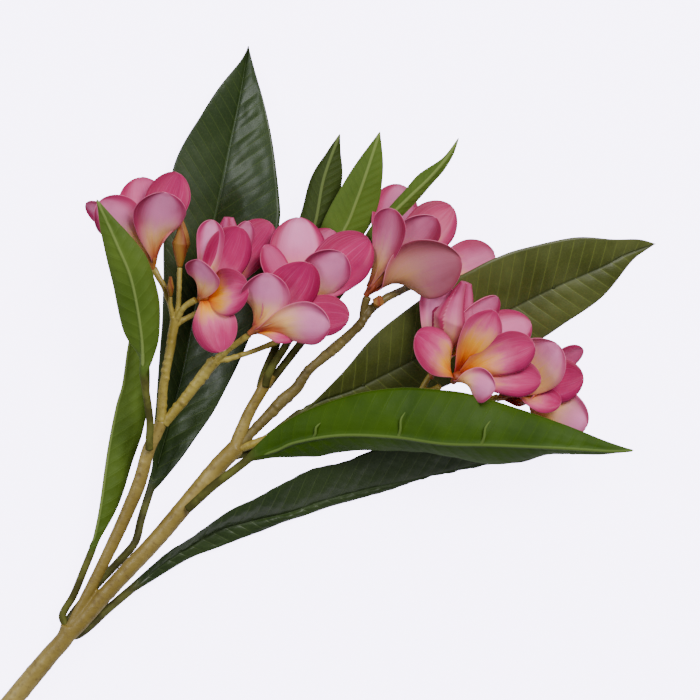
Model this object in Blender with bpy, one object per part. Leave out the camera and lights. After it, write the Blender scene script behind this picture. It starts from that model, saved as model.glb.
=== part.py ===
"""A cut spray of frangipani (plumeria), lying on a flat surface.

A forked stem carries nine leaves, seven open blossoms, three half-open ones and three buds.
Everything is drawn in millimetres in a plan frame whose origin is the stem's first fork: X to the
right, Y up the spray and Z up from the surface. One empty then puts the spray on the row's origin,
which is the middle of the underside of its bounding box.
"""
import math

import bmesh
import bpy
from mathutils import Matrix, Vector

# Driving dimensions, in millimetres unless the name says otherwise
MM = 0.001
FORK_PLACE = (-151.4, -140.2, 0.0)   # the first fork, seen from the middle of the underside
GAP = 0.3                            # clearance between neighbouring pieces
STEM_SIDES = 2                       # bevel resolution of every round stem: eight sides
STEM_STEP = 11.0                     # spacing of the rings along a stem
LEAF_THICKNESS = 0.9
LEAF_ROWS = 18
LEAF_COLUMNS = 4
PETIOLE_RADIUS = 2.3
PETAL_THICKNESS = 0.7
PETAL_ROWS = 7
PETAL_COLUMNS = 4
PETAL_ROOT_RADIUS = 2.9              # the petals stand on a ring of this radius
PETAL_ROOT_HALF_WIDTH = 1.5
PETAL_TURN = math.radians(20)        # pinwheel tilt: each petal's edge lies over the next one
PETAL_CUP = math.radians(42)         # how far the cross-section of a petal curls in

# Colours (linear RGB) and finish of the plain materials: (colour, roughness)
FINISHES = {
    "stem": ((0.36, 0.26, 0.09), 0.6),
    "twig": ((0.30, 0.22, 0.08), 0.6),
    "leaf_dark": ((0.025, 0.055, 0.015), 0.35),
    "leaf_bright": ((0.06, 0.16, 0.02), 0.45),
    "petal": ((0.60, 0.13, 0.24), 0.55),
    "bud": ((0.42, 0.25, 0.07), 0.5),
}


# ---------------------------------------------------------------- curves and helpers
def smooth(points, count):
    """Even points along a smooth curve through the given ones; extra components are carried."""
    ends = [points[0]] + list(points) + [points[-1]]
    dense = []
    for i in range(1, len(ends) - 2):
        a, b, c, d = (list(p) for p in ends[i - 1:i + 3])
        for step in range(16):
            t = step / 16
            dense.append([
                0.5 * (2 * q + (r - p) * t + (2 * p - 5 * q + 4 * r - s) * t * t
                       + (3 * q - p - 3 * r + s) * t ** 3)
                for p, q, r, s in zip(a, b, c, d)])
    dense.append(list(points[-1]))
    lengths = [0.0]
    for p, q in zip(dense, dense[1:]):
        lengths.append(lengths[-1] + math.dist(p[:3], q[:3]))
    even = []
    place = 0
    for k in range(count):
        want = lengths[-1] * k / (count - 1)
        while place < len(lengths) - 2 and lengths[place + 1] < want:
            place += 1
        span = lengths[place + 1] - lengths[place] or 1.0
        t = min(1.0, (want - lengths[place]) / span)
        even.append([p + (q - p) * t for p, q in zip(dense[place], dense[place + 1])])
    return even


def along(samples, t):
    """The point at t, from 0 to 1, of a list of even samples."""
    spot = max(0.0, min(1.0, t)) * (len(samples) - 1)
    k = min(int(spot), len(samples) - 2)
    return Vector(samples[k][:3]).lerp(Vector(samples[k + 1][:3]), spot - k)


def ease(t):
    t = max(0.0, min(1.0, t))
    return t * t * (3 - 2 * t)


def finish(name):
    """A plain Principled material, made once."""
    if name in bpy.data.materials:
        return bpy.data.materials[name]
    material = bpy.data.materials.new(name)
    material.use_nodes = True
    shader = material.node_tree.nodes["Principled BSDF"]
    colour, roughness = FINISHES[name]
    shader.inputs["Base Color"].default_value = (*colour, 1.0)
    shader.inputs["Roughness"].default_value = roughness
    shader.inputs["Metallic"].default_value = 0.0
    return material


def add_object(name, mesh, parent, material):
    piece = bpy.data.objects.new(name, mesh)
    bpy.context.scene.collection.objects.link(piece)
    piece.parent = parent
    mesh.materials.append(finish(material))
    mesh.shade_smooth()
    return piece


def add_empty(name, parent, place):
    empty = bpy.data.objects.new(name, None)
    bpy.context.scene.collection.objects.link(empty)
    empty.parent = parent
    empty.location = Vector(place) * MM
    return empty


def sheet(name, rows, columns, place, thickness, fullness, parent, material):
    """A thin solid: a lattice laid on place(t, s) and thickened about its middle.

    t runs from 0 to 1 along the piece, s from -1 to 1 across it, and fullness(t, s) is the part
    of the thickness that the solid has there.
    """
    form = bmesh.new()
    bmesh.ops.create_grid(form, x_segments=columns, y_segments=rows, size=1.0)
    params = []
    for vert in form.verts:
        s, t = vert.co.x, (vert.co.y + 1) / 2
        params.append((t, s))
        vert.co = Vector(place(t, s)) * MM
    mesh = bpy.data.meshes.new(name)
    form.to_mesh(mesh)
    form.free()
    piece = add_object(name, mesh, parent, material)
    group = piece.vertex_groups.new(name="fullness")
    for index, (t, s) in enumerate(params):
        group.add([index], fullness(t, s), "REPLACE")
    solid = piece.modifiers.new("thickness", "SOLIDIFY")
    solid.thickness = thickness * MM
    solid.offset = 0.0
    solid.vertex_group = "fullness"
    return piece


def lengthen(start, end, extra):
    """The end of a line, moved out by a little."""
    run = Vector(end) - Vector(start)
    return tuple(Vector(end) + run.normalized() * extra)


def weld(mesh):
    """Join the caps of a bevelled curve to its wall."""
    form = bmesh.new()
    form.from_mesh(mesh)
    bmesh.ops.remove_doubles(form, verts=form.verts, dist=1e-6)
    bmesh.ops.recalc_face_normals(form, faces=form.faces)
    form.to_mesh(mesh)
    form.free()


def tube(name, points, radii, parent, material, grow=0.0):
    """A round stem through (x, y, z) points; the radii are spread evenly between its ends."""
    if grow:
        points = [lengthen(points[1], points[0], grow)] + points[1:-1] \
            + [lengthen(points[-2], points[-1], grow)]
    length = sum(math.dist(p, q) for p, q in zip(points, points[1:]))
    count = max(3, round(length / STEM_STEP) + 1)
    path = smooth(points, count)
    widths = smooth([(r, 0.0, 0.0) for r in radii], count) if len(set(radii)) > 1 \
        else [(radii[0],)] * count
    curve = bpy.data.curves.new(name + "_path", "CURVE")
    curve.dimensions = "3D"
    curve.bevel_depth = MM
    curve.bevel_resolution = STEM_SIDES
    curve.use_fill_caps = True
    spline = curve.splines.new("POLY")
    spline.points.add(count - 1)
    for point, place, width in zip(spline.points, path, widths):
        point.co = (*(c * MM for c in place), 1.0)
        point.radius = width[0] + grow
    guide = bpy.data.objects.new(name + "_path", curve)
    bpy.context.scene.collection.objects.link(guide)
    depsgraph = bpy.context.evaluated_depsgraph_get()
    mesh = bpy.data.meshes.new_from_object(guide.evaluated_get(depsgraph))
    bpy.data.objects.remove(guide)
    weld(mesh)
    mesh.name = name
    mesh.materials.clear()
    return add_object(name, mesh, parent, material)


def helper(piece):
    piece.hide_render = True
    piece.display_type = "WIRE"


def combine(piece, other, operation):
    boolean = piece.modifiers.new(operation.lower(), "BOOLEAN")
    boolean.operation = operation
    boolean.object = other
    helper(other)


def branching(name, limbs, parent, material, cutters=()):
    """Round limbs grown together into one piece, kept clear of the stems that it stands on."""
    piece = tube(name, *limbs[0], parent, material)
    for k, limb in enumerate(limbs[1:]):
        combine(piece, tube(f"{name}_limb_{k}", *limb, parent, material), "UNION")
    for cutter in cutters:
        combine(piece, cutter, "DIFFERENCE")
    return piece


# ---------------------------------------------------------------- stems
MAIN = ([(-80, -99.5, 5.6), (-54, -67.5, 8), (-33, -43, 10), (-10.5, -16, 13), (0, -4, 14), (3, 4, 14.5)],
        [5.6, 5.4, 5.4, 5.6, 6.4, 5.6])
LEFT_BRANCH = ([(0, -4, 14), (6, 8, 15), (19, 32.5, 18), (29, 52.5, 21), (39.5, 75, 24),
                (49, 97.5, 28), (55, 118.5, 31), (60, 129.5, 33), (64.5, 138.5, 34)],
               [3.2, 3.3, 3.6, 4.1, 4.2, 4.6, 4.0])
RIGHT_BRANCH = ([(0, -4, 14), (10, 6, 15), (24, 22, 17), (42, 41.5, 20), (58.5, 59, 23),
                 (76, 79.5, 25), (91, 97.5, 27), (103.5, 112, 29), (113, 121.5, 30)],
                [5.2, 5.2, 5.4, 5.6, 5.8])
CENTRE_BRANCH = ([(111, 119.5, 30), (119.5, 141, 32), (127.5, 155.5, 34), (133, 166, 36)], [4.4, 3.6, 3.8])

LEFT_TWIG = [
    ([(63.5, 136, 34), (64, 145.5, 35.5), (65, 159, 37), (67, 171.5, 39), (69.5, 184, 41), (71.5, 196.5, 42), (73, 205.5, 43)],
     [3.2, 2.8, 3.0, 3.2]),
    ([(72, 203, 43), (70, 212, 42), (66.5, 223.5, 41), (62, 232, 40.5), (59, 238, 40)], [1.9, 1.7, 2.2]),
    ([(73, 203, 43), (75, 214, 45), (75.5, 227, 46), (76, 238, 46)], [1.8, 1.6, 1.7]),
    ([(71.5, 203, 43), (70, 212, 46), (70, 219, 47)], [1.5, 1.3]),
    ([(73, 202, 43), (78.5, 212, 48), (86.5, 217, 52)], [2.0, 1.7, 2.2]),
    ([(72, 200, 43), (80, 205, 42), (92.5, 211, 41), (100, 215, 41)], [2.0, 1.7, 2.0]),
]
INNER_TWIG = [
    ([(65.5, 136.5, 34.5), (78.5, 152, 38), (86.5, 162.5, 41), (93.5, 171.5, 43), (99.5, 178, 45)], [3.2, 3.2, 3.8]),
    ([(99, 177.5, 45), (107, 184.5, 49), (115.5, 190.5, 54), (121.5, 194.5, 57)], [2.3, 1.9, 2.2]),
    ([(99, 177.5, 45), (108.5, 179, 45), (118.5, 182, 45), (130.5, 186.5, 44), (143, 192, 43), (149, 197.5, 43)],
     [2.0, 1.7, 1.7, 2.2]),
]
RIGHT_TWIG = [
    ([(114, 122, 30), (130.5, 139, 31), (143, 152, 33), (152, 160, 35), (159, 170.5, 37), (172, 182, 39),
      (182.5, 191, 41), (193.5, 201.5, 43)], [2.8, 2.9, 4.2, 3.0, 3.6, 3.0, 3.2]),
    ([(192.5, 200, 43), (199.5, 210.5, 43), (209.5, 218, 41), (220.5, 223.5, 33), (228, 227, 25)], [3.0, 2.4, 2.2]),
    ([(194.5, 203, 43), (195.5, 212, 44), (198, 219, 46)], [2.2, 2.6]),
    ([(199.5, 210.5, 43), (203, 212.5, 46.3)], [2.0, 1.8]),
]
HIDDEN_TWIG = [
    ([(114, 120, 30), (129.5, 125.5, 33), (147.5, 132.5, 36), (180, 143, 38), (212.5, 151.5, 39), (234.5, 157.5, 40),
      (245.5, 154.5, 40)], [2.8, 2.6, 2.6, 2.6]),
    ([(232, 156.5, 40), (236, 164, 40), (239, 168.5, 40)], [2.0, 1.9]),
    ([(234.5, 157.5, 40), (240.5, 158.5, 43), (245, 161, 46)], [2.0, 2.1]),
    ([(242.5, 155.5, 40), (258, 151, 38), (274.5, 152, 36), (283, 154, 35)], [2.0, 1.9, 2.2]),
]


def make_stems(spray):
    """The forked main stem and the four flowering twigs that stand on it."""
    trunk_limbs = [MAIN, LEFT_BRANCH, RIGHT_BRANCH, CENTRE_BRANCH]
    cutters = [tube(f"clear_of_stem_{k}", *limb, spray, "stem", grow=GAP)
               for k, limb in enumerate(trunk_limbs)]
    for cutter in cutters:
        helper(cutter)
    branching("main_stem", trunk_limbs, spray, "stem")
    branching("left_twig", LEFT_TWIG, spray, "twig", cutters[1:2])
    left_clear = tube("clear_of_left_twig", *LEFT_TWIG[0], spray, "stem", grow=GAP)
    branching("inner_twig", INNER_TWIG, spray, "twig", [cutters[1], left_clear])
    branching("right_twig", RIGHT_TWIG, spray, "twig", cutters[2:4])
    right_clear = tube("clear_of_right_twig", *RIGHT_TWIG[0], spray, "stem", grow=GAP)
    branching("hidden_twig", HIDDEN_TWIG, spray, "twig", [cutters[2], cutters[3], right_clear])


# ---------------------------------------------------------------- leaves
# Each leaf grows out of its petiole along its rib. The two edges run from the petiole's end to the
# tip; bulge is how far each half arches out of the straight line from rib to edge.
LEAVES = {
    "leaf_back": dict(
        petiole=[(6, 13, 8.5), (20, 30, 8), (36, 47, 9), (46, 59, 10), (50, 74, 10), (56, 93.5, 9)],
        rib=[(65, 125, 5), (75.5, 164.5, 2.5), (82, 197.5, 1.4), (89, 236.5, 0.9), (98, 271.5, 0.9),
             (108, 320, 2), (114, 348.5, 2.5), (120, 383.5, 1)],
        left=[(57, 108, 12), (58.5, 132.5, 14), (61, 165, 14), (63, 197.5, 14), (64.5, 229.5, 13), (65, 262.5, 12),
              (71.5, 306, 12), (89, 338, 12), (101.5, 357, 10), (115, 374, 5), (120, 383.5, 2)],
        right=[(64.5, 99, 12), (80, 118.5, 16), (97.5, 144.5, 17), (115.5, 180, 16), (129.5, 217, 15), (140, 264, 14),
               (140, 286.5, 13), (136, 320, 11), (130.5, 346, 9), (124, 368.5, 5), (120, 383.5, 2)],
        bulge=(2.0, 3.0), material="leaf_dark"),
    "leaf_front_left": dict(
        petiole=[(56, 126, 40.5), (56.5, 139, 44), (54, 158.5, 50), (52.5, 169, 54)],
        rib=[(51.5, 194.5, 60), (45.5, 229, 68), (36.5, 252, 73), (23, 282, 76)],
        left=[(49.5, 180.5, 54), (39.5, 197.5, 58), (32.5, 229, 64), (26, 258.5, 72), (23, 282, 76)],
        right=[(59, 179.5, 54), (63, 194.5, 57), (63, 218, 61), (56, 242, 67), (47, 255.5, 71), (33, 271, 75),
               (23, 282, 76)],
        bulge=(1.5, 2.0), material="leaf_bright"),
    "leaf_lower_left": dict(
        petiole=[(-1.5, 11, 12), (6, 24.5, 13), (13, 41.5, 15), (17.5, 52.5, 16)],
        rib=[(23, 77.5, 20), (29, 119.5, 22), (34.5, 148, 22), (38.5, 162.5, 22), (42, 188, 23), (46, 206.5, 24)],
        left=[(22, 64.5, 12), (30.5, 90.5, 8), (39.5, 116.5, 6), (47.5, 149, 6), (50, 178, 10), (46, 206.5, 24)],
        right=[(24, 62, 18), (36, 84.5, 16), (45.5, 114.5, 14), (52, 136, 13), (56, 162, 13), (54, 188, 16),
               (46, 206.5, 24)],
        bulge=(1.0, 2.0), material="leaf_dark"),
    "leaf_top_left": dict(
        petiole=[(130.5, 169, 33.5), (138.5, 188, 31), (143.5, 205.5, 28), (145.5, 218.5, 27)],
        rib=[(150, 236.5, 27), (157.5, 253, 28), (164, 268, 29), (169.5, 296.5, 30), (180, 325.5, 31)],
        left=[(146, 242, 24), (154.5, 274.5, 25), (161, 297, 27), (171.5, 314, 29), (180, 325.5, 31)],
        right=[(157.5, 233.5, 23), (168.5, 253, 24), (177, 275.5, 25), (181.5, 296.5, 27), (180.5, 313.5, 29), (180, 325.5, 31)],
        bulge=(1.0, 1.0), material="leaf_dark"),
    "leaf_top_middle": dict(
        petiole=[(134.5, 171, 39.5), (145, 188, 37), (154, 205.5, 33), (161, 222.5, 31)],
        rib=[(168.5, 238, 33), (184, 265, 38), (190, 279.5, 41), (196.5, 297.5, 44), (206, 326.5, 46)],
        left=[(162, 242, 30), (167, 262.5, 33), (175.5, 281, 37), (190.5, 306, 42), (206, 326.5, 46)],
        right=[(179, 235.5, 31), (191, 253, 34), (201, 268.5, 37), (206, 284, 39), (208, 305.5, 43), (206, 326.5, 46)],
        bulge=(1.0, 1.0), material="leaf_bright"),
    "leaf_top_right": dict(
        petiole=[(138.5, 168.5, 34), (154.5, 189, 33), (170.5, 209.5, 35), (181.5, 223.5, 39)],
        rib=[(192.5, 242, 46), (201.5, 256, 54), (212.5, 271, 58), (225.5, 284, 59), (238.5, 296.5, 60), (249.5, 309.5, 61),
             (257, 322, 62)],
        left=[(191, 246.5, 43), (199, 263, 51), (210.5, 276, 54), (221.5, 287.5, 55), (232, 299, 57), (247, 309.5, 60),
              (257, 322, 62)],
        right=[(198, 242, 45), (206, 255.5, 53), (218, 269, 56), (231, 282, 56), (243, 296, 57), (253, 310, 60),
               (257, 322, 62)],
        bulge=(0.6, 0.6), material="leaf_bright"),
    "leaf_right_back": dict(
        petiole=[(121.5, 118.5, 22), (129.5, 125, 21), (141, 134, 21), (153, 143.5, 21)],
        rib=[(167, 151, 19), (188.5, 158.5, 16), (211, 169.5, 13), (232, 180.5, 11), (264.5, 197, 9), (294.5, 213, 8),
             (321, 226, 7), (351.5, 239, 5), (367, 247, 3), (387, 254, 1.2)],
        left=[(161, 149.5, 21), (180, 168.5, 24), (205.5, 196.5, 26), (240.5, 223, 28), (264.5, 236, 28), (281.5, 244.5, 26),
              (299.5, 251, 22), (333.5, 258, 16), (359, 257, 10), (375.5, 257, 5), (387, 254, 1.2)],
        right=[(166, 140.5, 16), (196.5, 144.5, 10), (232, 154, 5), (271, 171, 2), (307.5, 189, 0.7), (326.5, 201.5, 0.6),
               (351.5, 219, 0.8), (370.5, 242, 1), (379, 249, 1), (387, 254, 1.2)],
        bulge=(2.0, 2.0), material="leaf_dark"),
    "leaf_right_front": dict(
        petiole=[(86.5, 86, 33.5), (97.5, 96, 35), (110, 105.5, 37), (121.5, 114.5, 39)],
        rib=[(138.5, 119.5, 44), (152, 125, 50), (180, 129.5, 59), (214.5, 128.5, 64), (247.5, 124, 66), (281, 123, 65),
             (322.5, 121, 60), (355.5, 119, 54), (370.5, 119.5, 52)],
        left=[(128, 125, 42), (139, 134.5, 46), (160, 146, 53), (190, 156, 58), (218, 160, 60), (241, 159, 60),
              (264.5, 156, 60), (302, 144.5, 58), (331, 134, 56), (352.5, 125.5, 54), (370.5, 119.5, 52)],
        right=[(138, 114.5, 40), (164.5, 115.5, 43), (183.5, 118.5, 45), (205, 119, 46), (234.5, 117.5, 45), (257.5, 114, 44),
               (279.5, 110, 43), (297, 112.5, 45), (317, 116.5, 48), (349, 116.5, 51), (370.5, 119.5, 52)],
        bulge=(3.0, 2.0), material="leaf_bright"),
    "leaf_lower": dict(
        petiole=[(9, -1.5, 8), (17.5, 5, 8), (27.5, 14.5, 8), (44, 28.5, 7)],
        rib=[(55, 37, 6), (68, 47, 6), (88.5, 60.5, 5), (104.5, 68, 5), (128, 74, 4), (148, 78.5, 4), (169.5, 86, 4),
             (198, 93.5, 4), (224, 99, 4), (247.5, 104.5, 4), (284, 112.5, 5), (316, 117, 5)],
        left=[(54.5, 41.5, 9), (67, 52, 12), (80.5, 61, 15), (93, 70, 17), (110, 80.5, 19), (128, 89.5, 20),
              (145, 99, 21), (160, 106, 22), (184.5, 112.5, 22), (205, 120, 21), (238.5, 123, 18), (277.5, 121.5, 13),
              (301, 120, 9), (316, 117, 5)],
        right=[(56.5, 33, 5), (80.5, 47.5, 3), (99.5, 55, 2.5), (125, 64.5, 2), (148, 73.5, 1.5), (175, 82, 1),
               (206, 91, 0.6), (231.5, 99.5, 0.6), (256, 106, 1), (281, 110, 2), (299.5, 111, 4), (316, 117, 5)],
        bulge=(1.6, 1.2), material="leaf_dark"),
}


def make_leaf(name, leaf, spray):
    """A blade on three smooth lines (rib and edges) with its petiole, thick and narrow, below it."""
    petiole = smooth(leaf["petiole"], 24)
    rib = smooth([leaf["petiole"][-1]] + leaf["rib"], 48)
    stalk = sum(math.dist(p, q) for p, q in zip(petiole, petiole[1:]))
    share = stalk / (stalk + sum(math.dist(p, q) for p, q in zip(rib, rib[1:])))

    def across(t):
        run = along(petiole, t + 0.04) - along(petiole, t - 0.04)
        return run.cross(Vector((0, 0, 1))).normalized() * PETIOLE_RADIUS

    start = Vector(leaf["petiole"][-1])
    edges = {-1: smooth([start - across(1)] + leaf["left"], 48),
             1: smooth([start + across(1)] + leaf["right"], 48)}

    def place(t, s):
        if t < share:
            return along(petiole, t / share) + across(t / share) * s
        u = (t - share) / (1 - share)
        middle = along(rib, u)
        run = along(rib, u + 0.03) - along(rib, u - 0.03)
        side = -1 if s < 0 else 1
        edge = along(edges[side], u)
        out = (edge - middle) * side
        swell = leaf["bulge"][0 if s < 0 else 1] * math.sin(math.pi * u)
        lift = run.cross(out).normalized() * -1
        if lift.z < 0:
            lift = -lift
        blunt = 0.5 * ease((u - 0.9) / 0.1) * abs(s)
        return middle + (edge - middle) * abs(s) + lift * swell * 4 * abs(s) * (1 - abs(s)) - \
            run.normalized() * blunt

    def fullness(t, s):
        round_part = math.sqrt(max(0.0, 1 - s * s))
        stalk_part = 0.25 + 0.75 * round_part
        thin = LEAF_THICKNESS / (2 * PETIOLE_RADIUS)
        blend = ease((t - share) / 0.08)
        return stalk_part * (1 - blend) + thin * blend

    sheet(name, LEAF_ROWS, LEAF_COLUMNS, place, 2 * PETIOLE_RADIUS, fullness, spray,
          leaf["material"])


# ---------------------------------------------------------------- blossoms
# Each blossom stands on its base along its axis; a petal is its tip's place, its width, its
# swing (how far the tip bends outwards) and its own extra turn in degrees.
BLOSSOMS = {
    "bloom_left": dict(base=(58, 242, 42), axis=(-0.15, 0.8, 0.55), petals=[
        ((68, 284.5, 74), 32, 0.2, 0), ((75.5, 299.5, 50), 32, 0.2, 0), ((50, 296, 32), 34, 0.2, 0),
        ((15, 277.5, 36), 24, 0.4, 0), ((25.5, 278, 62), 26, 0.3, 0)]),
    "bloom_inner": dict(base=(90.5, 218.5, 54), axis=(0.5, 0.25, 0.8), petals=[
        ((103.5, 184.5, 72), 29, 0.4, 0), ((121.5, 231, 76), 32, 0.3, 0), ((114, 260, 66), 30, 0.2, 0),
        ((96, 268, 62), 22, 0.2, 0), ((89.5, 243, 76), 22, 0.3, 0)]),
    "bloom_centre_back": dict(base=(151.5, 203, 48), axis=(0.1, 0.75, 0.6), petals=[
        ((153, 270, 54), 34, 0.2, 0), ((133, 253.5, 62), 20, 0.2, 0), ((175, 249.5, 72), 28, 0.2, 0),
        ((199, 255, 60), 30, 0.2, 0), ((175, 262, 48), 24, 0.2, 0)]),
    "bloom_centre_front": dict(base=(125, 197.5, 63), axis=(0.6, 0.45, 0.66), petals=[
        ((126, 229, 86), 30, 0.3, 0), ((156, 240.5, 82), 32, 0.2, 0), ((185, 205.5, 74), 24, 0.3, 0),
        ((173.5, 201, 90), 26, 0.3, 0), ((154, 197.5, 64), 22, 0.3, 0)]),
    "bloom_top": dict(base=(199.5, 223.5, 48), axis=(0.6, 0.7, 0.35), petals=[
        ((220.5, 290.5, 22), 28, 0.2, 0), ((214.5, 275, 80), 20, 0.2, 0), ((237, 271, 74), 22, 0.2, 0),
        ((257.5, 242, 72), 28, 0.3, 0), ((250, 275.5, 44), 32, 0.2, 0)]),
    "bloom_front": dict(base=(247, 162.5, 50), axis=(0.45, 0.4, 0.8), petals=[
        ((231, 195, 74), 28, 0.3, 0), ((280, 210, 72), 20, 0.2, 0), ((303.5, 185, 76), 22, 0.3, 0),
        ((309, 164, 70), 22, 0.3, 0), ((282, 166.5, 84), 20, 0.3, 0)]),
    "bloom_right": dict(base=(286, 154.5, 36), axis=(0.75, 0.35, 0.5), petals=[
        ((322, 188, 56), 28, 0.2, 0), ((337.5, 183.5, 40), 20, 0.2, 0), ((336.5, 166.5, 48), 26, 0.2, 0),
        ((323, 151, 54), 20, 0.2, 0), ((339.5, 131.5, 33), 22, 0.3, 0)]),
    "half_bloom_inner": dict(base=(102, 216, 41), axis=(0.2, 0.9, 0.3), petals=[
        ((119.5, 266.5, 52), 18, 0.0, 0), ((133, 268, 38), 24, 0.2, 0)], core=((108, 268.5, 46), 9.0)),
    "half_bloom_front": dict(base=(240.5, 170.5, 41), axis=(0.35, 0.9, 0.25), petals=[
        ((245, 227.5, 44), 20, 0.0, 0), ((284.5, 215, 52), 22, 0.1, 0), ((302, 203, 40), 24, 0.2, 0)],
        core=((263, 227, 50), 9.5)),
    "half_bloom_top": dict(base=(230, 227.5, 23), axis=(0.8, 0.5, -0.1), petals=[
        ((279.5, 247, 9), 24, 0.1, 0)]),
}


def petal_half_width(t, width):
    """Narrow at the root, widest past the middle and rounded towards the tip."""
    peak = 0.62
    if t < peak:
        rise = math.sin(math.pi / 2 * t / peak) ** 1.3
        return PETAL_ROOT_HALF_WIDTH + (width / 2 - PETAL_ROOT_HALF_WIDTH) * rise
    fall = (t - peak) / (1 - peak)
    return width / 2 * math.sqrt(1 - 0.84 * fall * fall)


def make_petal(name, root_side, axis, tip, width, swing, turn, home):
    """One petal: a curved midline from the ring round the axis to its tip, with a cupped section."""
    root_out = root_side
    start = axis * 0.8 + root_out * PETAL_ROOT_RADIUS
    chord = tip - start
    reach = chord.length
    forward = chord.normalized()
    tip_out = (forward - axis * forward.dot(axis))
    tip_out = tip_out.normalized() if tip_out.length > 0.05 else root_out
    first = start + (axis * 0.7 + forward * 0.6).normalized() * reach * 0.33
    last = tip - (forward + tip_out * swing).normalized() * reach * 0.33

    def middle(t):
        r = 1 - t
        return start * r ** 3 + first * 3 * r * r * t + last * 3 * r * t * t + tip * t ** 3

    def place(t, s):
        t = t * (1 - 0.16 * s * s * ease((t - 0.5) * 2))
        run = (middle(min(1, t + 0.02)) - middle(max(0, t - 0.02))).normalized()
        out = root_out.lerp(tip_out, ease(t * 1.3)).normalized()
        side = axis.cross(out)
        side = (side - run * side.dot(run)).normalized()
        side = Matrix.Rotation(PETAL_TURN + math.radians(turn), 3, run) @ side
        inward = run.cross(side)
        bend = PETAL_CUP * ease(t * 1.6) + 0.02
        half = petal_half_width(t, width)
        return middle(t) + side * half * math.sin(bend * s) / math.sin(bend) \
            + inward * half * (1 - math.cos(bend * s)) / math.sin(bend)

    return sheet(name, PETAL_ROWS, PETAL_COLUMNS, place, PETAL_THICKNESS, lambda t, s: 1.0, home,
                 "petal")


def make_blossom(name, blossom, spray):
    """Five lobes, or fewer on a half-open one, grown together at the root into one short tube."""
    base = Vector(blossom["base"])
    axis = Vector(blossom["axis"]).normalized()
    home = add_empty(name + "_base", spray, base)
    reference = axis.orthogonal().normalized()
    second = axis.cross(reference)
    tips = []
    for spec in blossom["petals"]:
        tip = Vector(spec[0]) - base
        tips.append((math.atan2(tip.dot(second), tip.dot(reference)), tip, spec))
    tips.sort(key=lambda entry: entry[0])
    slots = 5
    drift = [angle - 2 * math.pi * k / slots for k, (angle, _, _) in enumerate(tips)]
    phase = math.atan2(sum(map(math.sin, drift)), sum(map(math.cos, drift)))
    throat = [axis * 0.6, axis * 3.0, axis * 7.0]
    corolla = tube(name, throat, [3.1, 3.7, 3.5], home, "petal")
    for k, (_, tip, (_, width, swing, turn)) in enumerate(tips):
        angle = phase + 2 * math.pi * k / slots
        root = reference * math.cos(angle) + second * math.sin(angle)
        lobe = make_petal(f"{name}_lobe_{k + 1}", root, axis, tip, width, swing, turn, home)
        combine(corolla, lobe, "UNION")
    if "core" in blossom:
        tip, radius = Vector(blossom["core"][0]) - base, blossom["core"][1]
        first = axis * 4.0
        points = [first, first.lerp(tip, 0.3), first.lerp(tip, 0.65), tip]
        furled = tube(name + "_furled", points, [1.2, radius * 0.8, radius, 1.5], home, "petal")
        combine(corolla, furled, "UNION")


# ---------------------------------------------------------------- buds
BUDS = {
    "bud_long": ([(76, 238.5, 46), (76.5, 249.5, 47), (77.5, 258.5, 48), (76.5, 271, 50)], [1.7, 4.6, 5.5, 1.0]),
    "bud_small": ([(70, 219.5, 47), (70, 225.5, 49), (70, 232, 51)], [1.2, 2.3, 0.9]),
    "bud_round": ([(203.5, 213, 47), (205, 216, 49.5), (206, 219, 51.5)], [1.8, 3.9, 1.6]),
}


def main():
    for old in list(bpy.data.objects):
        bpy.data.objects.remove(old)
    spray = add_empty("spray", None, FORK_PLACE)
    make_stems(spray)
    for name, leaf in LEAVES.items():
        make_leaf(name, leaf, spray)
    for name, blossom in BLOSSOMS.items():
        make_blossom(name, blossom, spray)
    for name, (points, radii) in BUDS.items():
        tube(name, points, radii, spray, "bud")


main()
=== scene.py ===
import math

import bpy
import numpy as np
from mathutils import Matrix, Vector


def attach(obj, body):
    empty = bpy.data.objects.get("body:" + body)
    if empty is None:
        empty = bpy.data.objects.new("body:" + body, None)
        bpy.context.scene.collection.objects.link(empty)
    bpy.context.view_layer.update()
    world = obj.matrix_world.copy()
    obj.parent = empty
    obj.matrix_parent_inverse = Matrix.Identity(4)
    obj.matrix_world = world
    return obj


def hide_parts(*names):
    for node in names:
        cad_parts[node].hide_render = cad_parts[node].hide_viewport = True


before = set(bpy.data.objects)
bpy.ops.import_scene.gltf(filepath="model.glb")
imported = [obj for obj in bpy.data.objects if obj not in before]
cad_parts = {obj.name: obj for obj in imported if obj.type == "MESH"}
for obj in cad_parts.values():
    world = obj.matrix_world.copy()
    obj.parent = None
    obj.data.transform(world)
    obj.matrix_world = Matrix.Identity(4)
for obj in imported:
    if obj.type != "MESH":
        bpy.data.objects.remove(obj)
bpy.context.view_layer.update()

# The looks of a cut frangipani spray that lies on a pale floor, seen from straight above.
# The spray is drawn in millimetres in the plan frame of the CAD design, whose origin is the stem's
# first fork. FORK_PLACE is that fork's place in the row. The floor and the lights are in metres.

MM = 0.001
FORK_PLACE = np.array((-151.4, -140.2, 0.0))
UP = np.array((0.0, 0.0, 1.0))

# ---------------------------------------------------------------- numbers and curves
STEPS_PER_SPAN = 16         # curve steps between two given points, before it is made even
WAVE_COUNT = 6


def ease(t):
    """A smooth step from 0 to 1."""
    t = np.clip(t, 0.0, 1.0)
    return t * t * (3 - 2 * t)


def unit(v):
    """Vectors of length 1; the last axis holds x, y and z."""
    return v / np.maximum(np.linalg.norm(v, axis=-1, keepdims=True), 1e-9)


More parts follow.
